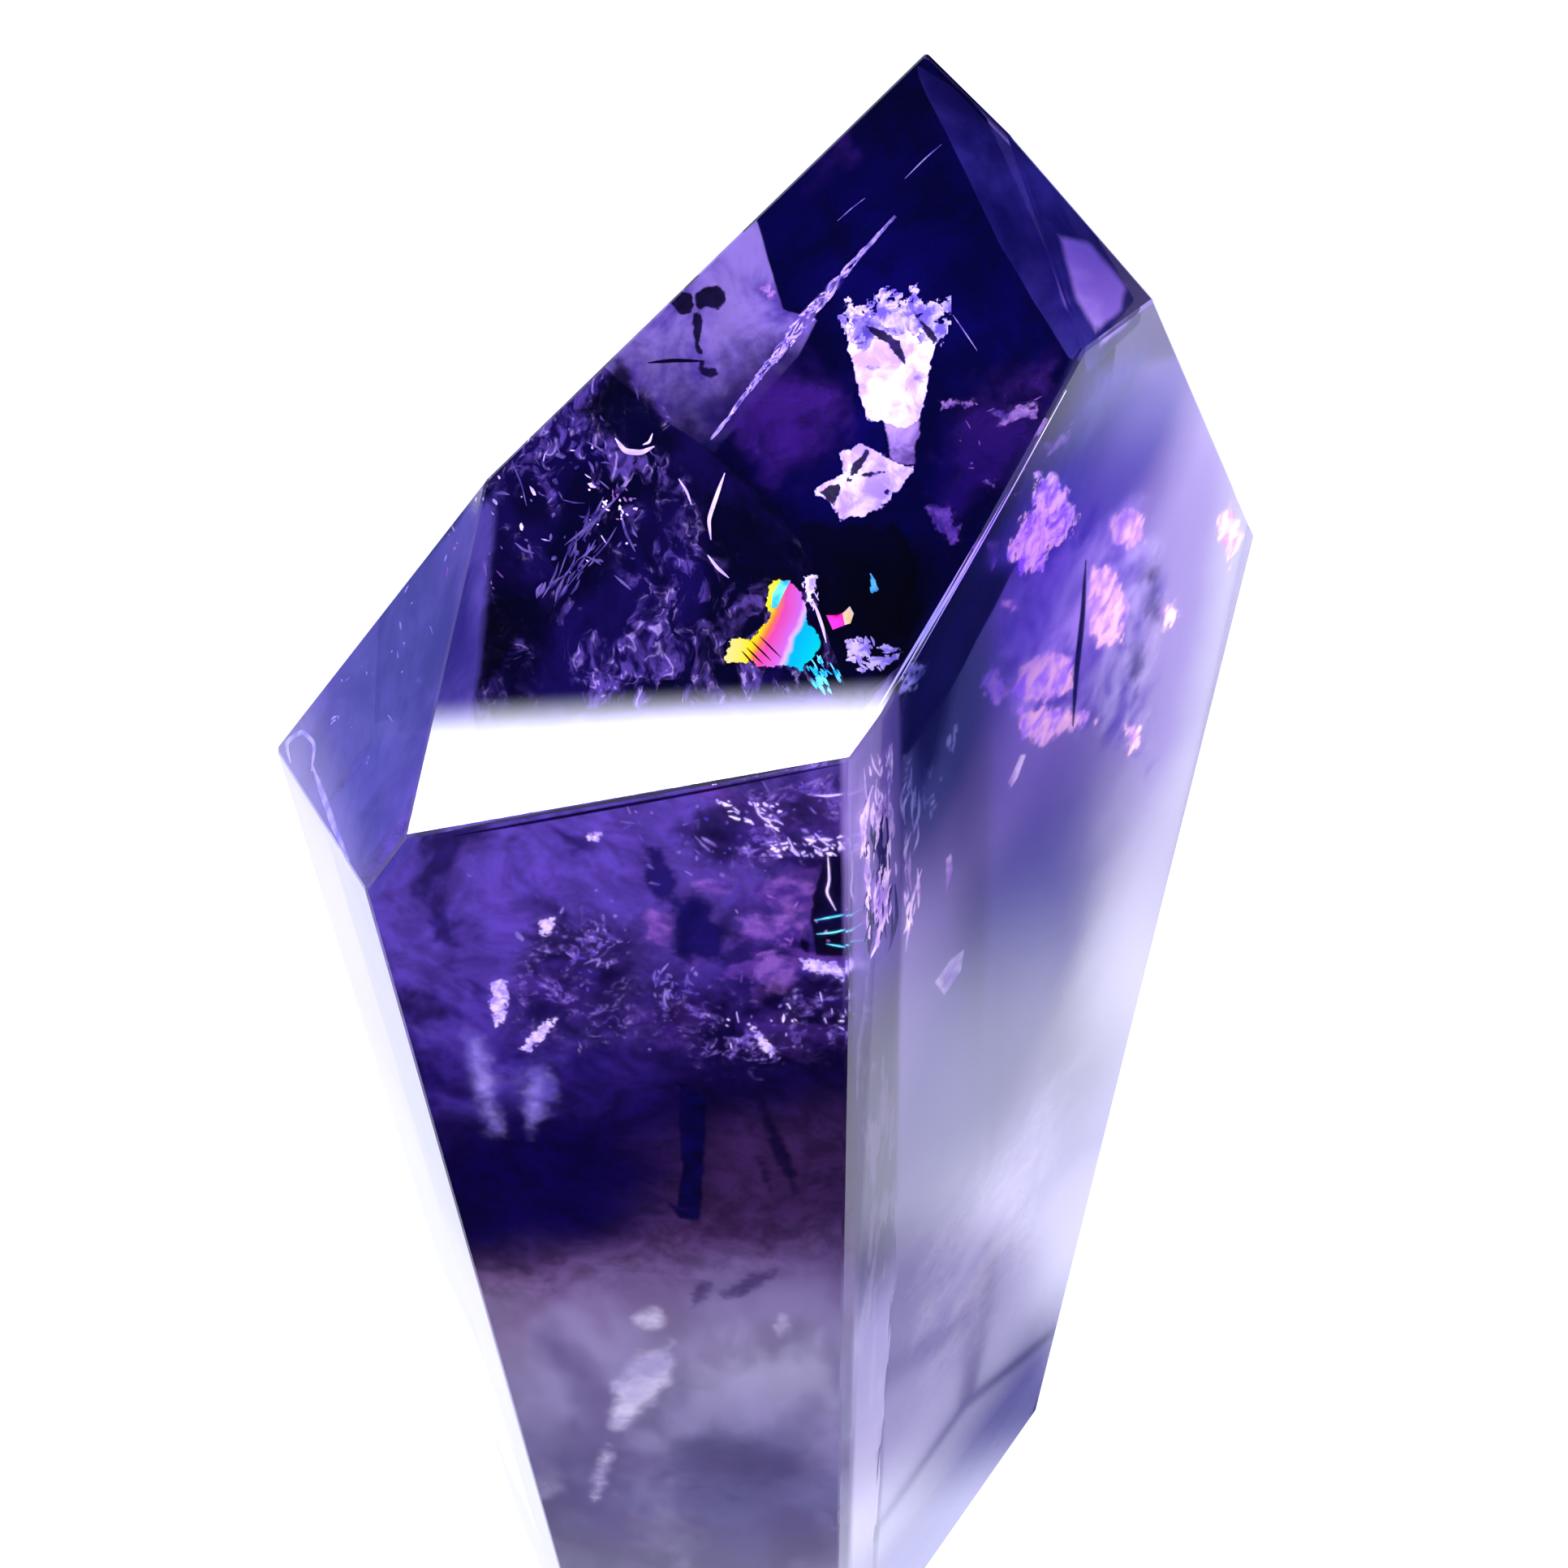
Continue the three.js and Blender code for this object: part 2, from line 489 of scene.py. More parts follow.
# The white light is a little blue, but bright enough for the paper to stay white.
LIGHT = (1.03, 1.05, 1.3)


def zone_share(s, at, window, pixel, reach):
    """How much a place belongs to a colour zone: 1 in its middle, fading out at its reach."""
    middle = window.inside(np.array(pixel), np.array(2.0)) * MM
    scaled = s.node("VectorMath", {"operation": "DIVIDE"})
    away = s.node("VectorMath", {"operation": "SUBTRACT"})
    s.feed(away.inputs[0], at)
    s.feed(away.inputs[1], middle)
    s.feed(scaled.inputs[0], away.outputs[0])
    s.feed(scaled.inputs[1], [length * MM for length in reach])
    length = s.node("VectorMath", {"operation": "LENGTH"})
    s.feed(length.inputs[0], scaled.outputs[0])
    return s.spread(length.outputs["Value"], 0.35, 1.05, 1.0, 0.0)


def wavering(s, size, swing):
    """Where a point is, moved about by noise of this size and by up to swing, both in mm."""
    wave = s.node("TexNoise", Scale=1 / (size * MM), Detail=3.0, Vector=s.place()).outputs["Color"]
    centred = s.node("VectorMath", {"operation": "SUBTRACT"})
    s.feed(centred.inputs[0], wave)
    s.feed(centred.inputs[1], (0.5, 0.5, 0.5))
    scaled = s.node("VectorMath", {"operation": "SCALE"}, Scale=swing * 4 * MM)
    s.feed(scaled.inputs[0], centred.outputs[0])
    moved = s.node("VectorMath", {"operation": "ADD"})
    s.feed(moved.inputs[0], s.place())
    s.feed(moved.inputs[1], scaled.outputs[0])
    return moved.outputs[0]


def facing_share(s, window, least=0.97):
    """1 on the face of a window, 0 on the others."""
    turned = s.node("VectorMath", {"operation": "DOT_PRODUCT"})
    s.feed(turned.inputs[0], s.node("TexCoord").outputs["Normal"])
    s.feed(turned.inputs[1], window.normal)
    return s.math("GREATER_THAN", turned.outputs["Value"], least)


def amethyst_material():
    """Clear quartz. Its tint turns from pale to violet up the crystal, with darker zones in it."""
    s = Shader("amethyst")
    at = wavering(s, 18, 2.2)
    x, y, z = s.parts(at)[:3]
    rich = s.math("MULTIPLY", s.spread(z, (ZONE_HEIGHT - 14) * MM, (ZONE_HEIGHT + 6) * MM),
                  s.spread(x, PALE_FROM * MM, PALE_TO * MM, 1.0, 0.0))
    pale = s.mix(s.spread(z, FOOT_LOW * MM, FOOT_HIGH * MM), FOOT_TINT, PALE_TINT)
    tint = s.mix(rich, pale, VIOLET_TINT)
    for window, pixel, reach, colour in ZONES.values():
        tint = s.mix(zone_share(s, at, window, pixel, reach), tint, colour)
    height = s.parts(s.place())["Z"]
    ground = s.spread(height, 0.4 * MM, 2.5 * MM, 0.5, 0.0)
    brushed = s.math("MULTIPLY", facing_share(s, RIGHT), 0.16)
    facing_up = s.parts(s.node("TexCoord").outputs["Normal"])["Z"]
    worn = s.spread(facing_up, 0.2, 0.4, 0.13, 0.012)
    roughness = s.math("MAXIMUM", s.math("MAXIMUM", ground, worn), brushed)
    glass = s.node("BsdfPrincipled", Base_Color=tint, Roughness=roughness, IOR=QUARTZ_IOR,
                   Transmission_Weight=1.0)
    absorption = s.node("VolumeAbsorption", Color=(0.30, 0.20, 0.48, 1), Density=11)
    return s.finish(glass.outputs[0], absorption.outputs[0])


def soft_edge(s, scale, cover, softness, ragged):
    """How solid a sheet is: cover in its middle, thinning out towards an uneven rim."""
    fray = s.math("MULTIPLY", s.math("SUBTRACT", s.noise(scale, 5, 0.65), 0.5), ragged * 2)
    return s.spread(s.math("ADD", s.rim()[0], fray), 0.0, softness, 0.0, cover)


def plain_surface(s, colour, alpha=1.0, painted_glow=0.0, roughness=0.8):
    inputs = {"Base_Color": colour, "Roughness": roughness, "Specular_IOR_Level": 0.0}
    if alpha != 1.0:
        inputs["Alpha"] = alpha
    # The glow is painted light: emission on an inclusion, which is no lamp, standing in for the light it catches or
    # lets through.
    if painted_glow:
        inputs.update(Emission_Color=colour, Emission_Strength=painted_glow)
    surface = s.node("BsdfPrincipled", **inputs)
    return s.finish(surface.outputs[0])


def veil_material(name, dark, light, size, cover=0.9, softness=0.3, ragged=0.3, painted_glow=0.0, contrast=0.2, fading=False):
    """A veil of soft patches in two colours. size is their size in mm; softness and ragged are in 100 pixels.

    A fading veil thins out towards its foot. A glow above 0 is painted light: the veil shines though it is no lamp.
    """
    s = Shader(name)
    scale = 1 / (size * MM)
    patches = s.spread(s.noise(scale, 4, 0.6, 0.4), 0.5 - contrast, 0.5 + contrast)
    colour = s.mix(patches, dark, light)
    thick = soft_edge(s, scale * 1.7, cover, softness, ragged)
    if fading:
        fray = s.math("MULTIPLY", s.math("SUBTRACT", s.noise(scale, 4, 0.6), 0.5), 0.8)
        thick = s.math("MULTIPLY", thick, s.spread(s.math("ADD", s.rim()[1], fray), 0.45, 1.0, 1.0, 0.0))
    return plain_surface(s, colour, thick, painted_glow)


def wisps(s, size, width, at):
    """Fine curved lines, 1 on a line and 0 off it: the contours of smooth noise of this size in mm."""
    level = s.math("SUBTRACT", s.noise(1 / (size * MM), 2, 0.5, 0.0, at), 0.5)
    return s.spread(s.math("ABSOLUTE", level), 0.0, width, 1.0, 0.0)


def crackle(s, at, size, gaps):
    """A shattered wall's brightness, two maps from 0 to 1: soft chips, and sharp glints among them.

    size is the size of a chip in mm, and gaps is how much of the wall has none, from 0 to 1.
    """
    crowd = s.spread(s.noise(0.22 / (size * MM), 4, 0.6, 0.5, at), gaps - 0.08, gaps + 0.10)
    broken = s.spread(s.noise(0.8 / (size * MM), 3, 0.55, 1.2, at), 0.46, 0.60)
    fine = s.noise(2.6 / (size * MM), 2, 0.5, 0.8, at)
    chips = s.math("MULTIPLY", s.math("MULTIPLY", crowd, broken), s.spread(fine, 0.30, 0.62))
    lines = s.math("MULTIPLY", wisps(s, size * 1.6, 0.016, at), s.spread(fine, 0.40, 0.55))
    sparks = s.spread(fine, 0.62, 0.70)
    glints = s.math("MULTIPLY", crowd, s.math("MAXIMUM", s.math("MULTIPLY", lines, broken), s.math("MULTIPLY", sparks, broken)))
    return chips, glints


def crackle_material(name, dark, cloud, pale, bright, size, gaps=0.5, cover=0.97, floor=0.97, softness=0.05,
                     ragged=0.05, painted_glow=0.0, stretch=(1.0, 1.0, 1.0)):
    """A shattered fracture wall: clouds of two dark colours, pale chips in clusters and bright glints.

    Its chips cover what is behind them by cover, and its clouds by floor. Its bright glints are painted highlights, and
    a glow above 0 is painted light.
    """
    s = Shader(name)
    at = s.node("Mapping", Vector=wavering(s, size * 3, size * 0.5), Scale=stretch).outputs[0]
    clouds = s.spread(s.noise(0.25 / (size * MM), 4, 0.65, 0.4, at), 0.42, 0.66)
    chips, glints = crackle(s, at, size, gaps)
    colour = s.mix(clouds, dark, cloud)
    colour = s.mix(chips, colour, pale)
    colour = s.mix(glints, colour, bright)
    share = s.spread(s.math("MAXIMUM", chips, glints), 0.05, 0.4, floor / cover, 1.0)
    edge = soft_edge(s, 1 / (size * MM), cover, softness, ragged)
    return plain_surface(s, colour, s.math("MULTIPLY", edge, share), painted_glow)


# The front face's smoke at heights in mm, from the grey lilac of the base to the violet under the tip.
SMOKE_LOW = 30
SMOKE_HIGH = 122
SMOKE_COLOURS = [
    (30, (92, 82, 134)),
    (46, (112, 108, 152)),
    (56, (130, 126, 163)),
    (68, (144, 138, 168)),
    (80, (138, 118, 152)),
    (88, (104, 76, 112)),
    (94, (24, 10, 66)),
    (101, (38, 22, 90)),
    (108, (84, 62, 150)),
    (114, (126, 104, 188)),
    (122, (142, 120, 204)),
]

# The dark band across the front face falls by this many mm for each mm to the left.
BAND_SLOPE = 0.4


def between_levels(s, level, low, high, soft):
    """1 between two heights in mm, fading out over soft mm past each."""
    rising = s.spread(level, (low - soft) * MM, low * MM)
    falling = s.spread(level, high * MM, (high + soft) * MM, 1.0, 0.0)
    return s.math("MULTIPLY", rising, falling)


def smoke_material():
    """The front face's smoke: violet above, a dark band across, and grey lilac below, thinning out downwards."""
    s = Shader("front_smoke")
    at = wavering(s, 9, 1.5)
    x, y, z = s.parts(at)[:3]
    level = s.math("SUBTRACT", z, s.math("MULTIPLY", x, BAND_SLOPE))
    reach = SMOKE_HIGH - SMOKE_LOW
    share = s.math("DIVIDE", s.math("SUBTRACT", level, SMOKE_LOW * MM), reach * MM, clamp=True)
    colour = s.ramp(share, [((height - SMOKE_LOW) / reach, tone(*shown)) for height, shown in SMOKE_COLOURS])

    def blot(amount, where, shown):
        return s.mix(s.math("MULTIPLY", where, amount), colour, tone(*shown))

    left = s.spread(x, -13 * MM, -6 * MM, 1.0, 0.0)
    right = s.spread(x, -10 * MM, -3 * MM)
    upper = s.spread(level, 100 * MM, 108 * MM)
    lower = s.spread(level, 78 * MM, 86 * MM, 1.0, 0.0)
    colour = blot(0.9, s.math("MULTIPLY", right, between_levels(s, level, 99, 106, 4)), (26, 14, 72))
    colour = blot(1.0, s.math("MULTIPLY", left, between_levels(s, level, 91, 97, 7)), (14, 4, 70))
    colour = blot(1.0, s.math("MULTIPLY", right, between_levels(s, level, 88, 95, 6)), (88, 62, 96))
    mist = s.math("MULTIPLY", s.spread(s.noise(150, 3, 0.5, 0.4, at), 0.48, 0.66), left)
    colour = blot(0.7, s.math("MULTIPLY", mist, upper), (134, 118, 198))
    hollows = s.spread(s.noise(210, 4, 0.6, 0.4, at), 0.46, 0.64)
    colour = blot(0.8, s.math("MULTIPLY", hollows, upper), (34, 20, 92))
    rosy = s.math("MULTIPLY", s.spread(s.noise(300, 4, 0.6, 0.8, at), 0.54, 0.62), right)
    colour = blot(0.8, s.math("MULTIPLY", rosy, upper), (158, 112, 200))
    tall = s.node("Mapping", Vector=wavering(s, 14, 0.8), Scale=(1, 1, 0.5)).outputs[0]
    milk = s.spread(s.noise(110, 3, 0.5, 0.0, tall), 0.48, 0.64)
    colour = blot(0.5, s.math("MULTIPLY", milk, lower), (176, 166, 204))
    dusk = s.spread(s.noise(85, 3, 0.5, 0.0, tall), 0.50, 0.64)
    colour = blot(0.6, s.math("MULTIPLY", dusk, lower), (80, 62, 110))
    mottle = s.spread(s.noise(520, 5, 0.7, 0.3, at), 0.34, 0.66, 0.62, 1.34)
    colour = s.mix(s.math("SUBTRACT", 1.0, lower), colour, mottle, "MULTIPLY")
    thin = s.math("MULTIPLY", s.spread(s.noise(130, 3, 0.5, 0.0, tall), 0.50, 0.66, 0.0, 0.45), lower)
    thick = s.math("SUBTRACT", s.spread(z, 3 * MM, 30 * MM), thin, clamp=True)
    edge = s.spread(s.rim()[0], 0.0, 0.30)
    # The smoke glows a little: painted light.
    return plain_surface(s, colour, s.math("MULTIPLY", thick, edge), painted_glow=0.25)


def fleck_material(name, dark, light, painted_glow=0.0, size=1.2):
    """Bright or dark flecks, each mottled between two colours. A glow above 0 is painted light: the flecks shine as
    painted highlights.
    """
    s = Shader(name)
    colour = s.mix(s.spread(s.noise(1 / (size * MM), 3), 0.35, 0.65), dark, light)
    return plain_surface(s, colour, painted_glow=painted_glow, roughness=0.35)


def make_floor():
    """A pale table, lit from within as a light table is, so the crystal is seen against white."""
    bpy.ops.mesh.primitive_plane_add(size=6)
    floor = bpy.context.object
    floor.name = "floor"
    s = Shader("floor")
    surface = s.node("BsdfPrincipled", Base_Color=(0.3, 0.3, 0.3, 1), Roughness=0.9,
                     Emission_Color=(*LIGHT, 1), Emission_Strength=1.0)
    floor.data.materials.append(s.finish(surface.outputs[0]))


def make_card(name, low, high, soft, colour):
    """A darker card over the table from one corner to the other, with soft ends, seen only as a reflection."""
    centre = [(a + b) / 2 for a, b in zip(low, high)]
    size = [b - a for a, b in zip(low, high)]
    bpy.ops.mesh.primitive_plane_add(size=1, location=(centre[0] * MM, centre[1] * MM, 1.5 * MM))
    card = bpy.context.object
    card.name = name
    card.scale = (size[0] * MM, size[1] * MM, 1)
    s = Shader(name)
    across, along = s.parts(s.place())[:2]
    masks = []
    for value, length in ((across, size[0]), (along, size[1])):
        masks.append(s.spread(s.math("ABSOLUTE", value), 0.5 - soft / length, 0.5, 1.0, 0.0))
    card.data.materials.append(plain_surface(s, (*colour, 1), s.math("MULTIPLY", *masks)))
    card.visible_camera = False
    card.visible_transmission = False
    card.visible_diffuse = False


# The softbox is mirrored in the front tip face as the white band. Its upper limit is a great circle.
SOFTBOX_BELOW = (-0.039, -0.886, -0.462)
SOFTBOX_STRENGTH = 37


def make_world():
    """Bright near the horizon, dark overhead, and a softbox high behind the photographer."""
    world = bpy.data.worlds.new("studio")
    bpy.context.scene.world = world
    world.use_nodes = True
    s = Shader.__new__(Shader)
    s.tree = world.node_tree
    background = s.tree.nodes["Background"]
    where = s.node("TexCoord").outputs["Generated"]
    x, y, z = s.parts(where)[:3]
    sky = s.spread(z, 0.3, 0.5, 1.0, 0.03)
    below = s.node("VectorMath", {"operation": "DOT_PRODUCT"})
    s.feed(below.inputs[0], where)
    s.feed(below.inputs[1], SOFTBOX_BELOW)
    upper = s.spread(below.outputs["Value"], -0.012, 0.03)
    lower = s.spread(z, 0.6, 0.66)
    left = s.spread(x, -0.85, -0.75)
    right = s.spread(x, -0.36, -0.325, 1.0, 0.0)
    box = s.math("MULTIPLY", s.math("MULTIPLY", upper, lower), s.math("MULTIPLY", left, right))
    s.feed(background.inputs["Strength"], s.math("ADD", sky, s.math("MULTIPLY", box, SOFTBOX_STRENGTH)))
    background.inputs["Color"].default_value = (*LIGHT, 1)


def sheets(name, material, window, *outlines, **shape):
    """A piece made of one sheet for each outline, all of one shape."""
    piece = Piece(name, material)
    for outline in outlines:
        add_sheet(piece, window, outline, **shape)
    piece.finish()


def add_clear_window():
    """The pale fracture below the tip, where the light comes through, with its frayed crown and dark gaps. The panes,
    link and crown glow: painted light for the light that comes through. Glowing bluish veils paint shade over the
    window's upper left corner and its two slits.
    """
    upper_pane = [(1042, 404), (1046, 375), (1060, 384), (1081, 388), (1100, 384), (1131, 396), (1156, 418), (1151, 432),
                  (1147, 454), (1133, 521), (1112, 528), (1089, 520), (1071, 520), (1062, 500), (1053, 461), (1045, 436)]
    lower_pane = [(1003, 604), (1017, 596), (1039, 584), (1033, 557), (1064, 546), (1085, 556), (1097, 566), (1126, 575),
                  (1117, 593), (1092, 621), (1064, 637), (1035, 642), (1024, 622), (1006, 612)]
    pane = veil_material("window_fracture", tone(184, 166, 230), tone(255, 253, 255), 1.2, cover=1.0,
                         softness=0.02, ragged=0.10, painted_glow=2.9, contrast=0.14)
    sheets("window_fracture", pane, FRONT_TIP, upper_pane, lower_pane, depth=4.5, ripple=0.6, step=4)

    neck = [(1088, 515), (1136, 505), (1128, 575), (1098, 572)]
    link = veil_material("window_link", tone(120, 95, 150), tone(225, 205, 235), 1.4, cover=0.97, softness=0.04,
                         ragged=0.08, painted_glow=1.2)
    sheets("window_link", link, FRONT_TIP, neck, depth=5.2, step=4)

    crown = [(1036, 392), (1046, 366), (1064, 384), (1082, 354), (1112, 362), (1128, 352), (1140, 370), (1168, 368),
             (1166, 400), (1158, 424), (1130, 418), (1100, 420), (1050, 420)]
    fringe = veil_material("window_crown", tone(120, 108, 205), tone(240, 236, 255), 0.8, cover=1.0, softness=0.01,
                           ragged=0.8, painted_glow=1.8, contrast=0.10)
    sheets("window_crown", fringe, FRONT_TIP, crown, depth=4.2, ripple=0.5, step=4)

    long_crack = [(1068, 402), (1084, 404), (1096, 412), (1110, 420), (1112, 432), (1120, 452), (1112, 450), (1102, 436),
                  (1092, 424), (1078, 416)]
    side_crack = [(1126, 384), (1134, 392), (1146, 402), (1158, 420), (1150, 424), (1138, 408)]
    left_slit = [(1058, 450), (1070, 448), (1084, 452), (1072, 458)]
    right_slit = [(1120, 460), (1132, 463), (1146, 472), (1134, 474)]
    fold = [(1040, 596), (1050, 572), (1068, 552), (1074, 556), (1062, 576), (1050, 594)]
    low_fold = [(1048, 588), (1076, 580), (1104, 580), (1076, 588)]
    dot = [(1087, 606), (1092, 601), (1098, 604), (1097, 611), (1090, 613)]
    # shade is a painted shadow below the lower pane's flap, drawn with the dark gaps.
    shade = [(1008, 606), (1024, 596), (1038, 596), (1028, 626)]
    gap = veil_material("window_gaps", tone(6, 2, 52), tone(70, 48, 130), 0.7, cover=0.97, softness=0.02, ragged=0.06,
                        contrast=0.16)
    sheets("window_gaps", gap, FRONT_TIP, long_crack, side_crack, fold, low_fold, dot, shade, depth=3.5, ripple=0.2,
           step=2)
    # Painted shade in the window: glowing bluish veils over its upper left corner and its two slits.
    blue_corner = [(1046, 378), (1066, 386), (1088, 394), (1086, 412), (1068, 434), (1052, 436)]
    window_shade_veil = veil_material("window_shades", tone(96, 84, 176), tone(196, 184, 238), 0.8, cover=0.8, softness=0.06,
                               ragged=0.12, painted_glow=1.0, contrast=0.14)
    sheets("window_shades", window_shade_veil, FRONT_TIP, blue_corner, left_slit, right_slit, depth=3.6, ripple=0.2, step=2)


RAINBOW_DEPTH = 4
RAINBOW_CRACKS = [((926, 790), (950, 814)), ((920, 798), (940, 818)), ((936, 784), (962, 810)), ((914, 802), (930, 820))]
RAINBOW_LEFT = (905, 770)
RAINBOW_RIGHT = (1012, 800)


def rainbow_material():
    """Interference colours of a thin gap: bands of yellow, magenta and cyan across the sheet, painted on and made to
    glow: painted light standing in for the colours the thin gap reflects.
    """
    s = Shader("rainbow_fracture")
    start = FRONT_TIP.inside(np.array(RAINBOW_LEFT), np.array(RAINBOW_DEPTH))
    end = FRONT_TIP.inside(np.array(RAINBOW_RIGHT), np.array(RAINBOW_DEPTH))
    across = (end - start) / ((end - start) @ (end - start)) / MM
    along = s.node("VectorMath", {"operation": "DOT_PRODUCT"})
    s.feed(along.inputs[0], s.place())
    s.feed(along.inputs[1], across)
    waver = s.math("MULTIPLY", s.math("SUBTRACT", s.noise(450, 3), 0.5), 0.35)
    share = s.math("ADD", s.math("SUBTRACT", along.outputs["Value"], float(across @ start) * MM), waver)
    colour = s.ramp(share, [
        (0.0, tone(236, 250, 120)),
        (0.30, tone(244, 246, 0)),
        (0.38, tone(244, 130, 60)),
        (0.44, tone(232, 80, 150)),
        (0.64, tone(216, 120, 196)),
        (0.69, tone(236, 210, 236)),
        (0.74, tone(0, 206, 214)),
        (1.0, tone(0, 250, 200)),
    ])
    return plain_surface(s, colour, soft_edge(s, 1100, 1.0, 0.01, 0.18), painted_glow=1.7)


def add_rainbow():
    """The thin fracture that shows interference colours, and the cyan glints near it. The fracture and the cyan,
    magenta and yellow glints glow: painted light.
    """
    sheets("rainbow_fracture", rainbow_material(), FRONT_TIP,
           [(895, 813), (900, 792), (912, 788), (922, 792), (936, 778), (950, 764), (946, 740), (948, 722), (962, 715),
            (985, 720), (990, 742), (996, 768), (1012, 792), (1004, 806), (988, 828), (968, 816), (940, 822), (915, 816)],
           depth=RAINBOW_DEPTH, ripple=0.3, step=3)
    cracks = Piece("rainbow_cracks", fleck_material("rainbow_cracks", tone(90, 10, 60), tone(30, 6, 60)))
    for start, end in RAINBOW_CRACKS:
        add_strand(cracks, FRONT_TIP, [start, end], (RAINBOW_DEPTH - 1, RAINBOW_DEPTH - 1), 2.2)
    cracks.finish()
    ember = Piece("ember_glint", fleck_material("ember_glint", tone(236, 20, 130), tone(240, 70, 190), 3.0, 0.9))
    add_flake(ember, FRONT_TIP, [(1018, 758), (1032, 758), (1040, 754), (1042, 770), (1026, 776)], 4, 0.3)
    ember.finish()
    tip = Piece("ember_tip", fleck_material("ember_tip", tone(255, 236, 60), tone(255, 250, 190), 3.0, 0.9))
    add_flake(tip, FRONT_TIP, [(1038, 756), (1047, 747), (1052, 756), (1048, 768), (1041, 770)], 3.8, 0.3)
    tip.finish()
    cyan = Piece("cyan_glints", fleck_material("cyan_glints", tone(20, 180, 200), tone(120, 255, 230), 2.6, 0.8))
    add_flake(cyan, FRONT_TIP, [(950, 750), (952, 732), (961, 716), (974, 715), (966, 730), (958, 748)], 3.6, 0.2)
    rng = random.Random(8)
    scatter(cyan, FRONT_TIP, rng, [(995, 822), (1012, 808), (1036, 830), (1022, 852), (1003, 848)],
            26, (14, 36), (3, 9), 55, 20, (3.4, 4.2))
    scatter(cyan, FRONT_TIP, rng, [(1066, 712), (1084, 705), (1088, 722), (1072, 732)], 9, (10, 24), (4, 9), 60, 30, (3.4, 4.2))
    add_strand(cyan, FRONT, [(1004, 1134), (1025, 1130), (1046, 1126)], (3, 3), 2.2)
    add_strand(cyan, FRONT, [(1006, 1151), (1028, 1149), (1046, 1144)], (3, 3), 2)
    add_strand(cyan, FRONT, [(1018, 1163), (1035, 1166), (1048, 1168)], (3, 3), 2)
    cyan.finish()


def add_rope():
    """The braided line of tiny drops that runs down from the tip: pale strands wound round each other. The strands,
    their haze and the sparks glow: painted light.
    """
    rope_top = np.array((1103, 266))
    rope_foot = np.array((876, 542))
    rope_bow = 5
    strands = 7
    points = 72
    along = (rope_foot - rope_top) / np.linalg.norm(rope_foot - rope_top)
    across = np.array((-along[1], along[0]))
    share = np.linspace(0, 1, points)
    swell = 1.5 + 7.5 * np.exp(-((share - 0.48) / 0.24) ** 2)
    spine = rope_top + (rope_foot - rope_top) * share[:, None] + across * (rope_bow * np.sin(np.pi * share))[:, None]
    piece = Piece("rope_veil", fleck_material("rope_veil", tone(120, 100, 196), tone(226, 214, 250), 1.0, 0.5))
    rng = random.Random(11)
    for strand in range(strands):
        turns = rng.uniform(3.5, 6.5)
        turn = 2 * math.pi * (turns * share + strand / strands)
        turn += 1.4 * np.sin(9 * share + 2 * strand)
        course = spine + across * (swell * rng.uniform(0.5, 1.0) * np.sin(turn))[:, None]
        for start in range(0, points - 5, 5):
            if rng.random() < 0.75:
                stretch = course[start:start + rng.randint(5, 9)]
                near = 3.6 + 0.4 * math.cos(turn[start])
                add_strand(piece, FRONT_TIP, stretch, (near, near), rng.uniform(1.0, 3.0))
    add_strand(piece, FRONT_TIP, [(1160, 178), (1140, 195), (1115, 220)], (3, 3), 1.6)
    add_strand(piece, FRONT_TIP, [(1066, 244), (1050, 256), (1032, 272)], (3, 3), 1.3)
    add_strand(piece, FRONT_TIP, [(1174, 388), (1188, 408), (1204, 432)], (3, 3), 1.6)
    piece.finish()
    edge = across * swell[:, None]
    body = [*(spine + edge)[::8], *(spine - edge)[::-8]]
    haze = veil_material("rope_haze", tone(70, 52, 150), tone(180, 166, 232), 1.2, cover=0.6, softness=0.05, ragged=0.08,
                         painted_glow=0.5, contrast=0.1)
    sheets("rope_haze", haze, FRONT_TIP, body, depth=4.4, ripple=0.3, step=4)
    sparks = Piece("rope_sparks", fleck_material("rope_sparks", tone(170, 155, 230), tone(245, 236, 255), 1.6, 0.5))
    scatter(sparks, FRONT_TIP, rng, body, 110, (5, 22), (1.5, 3.4), 129, 12, (3, 3.6))
    sparks.finish()


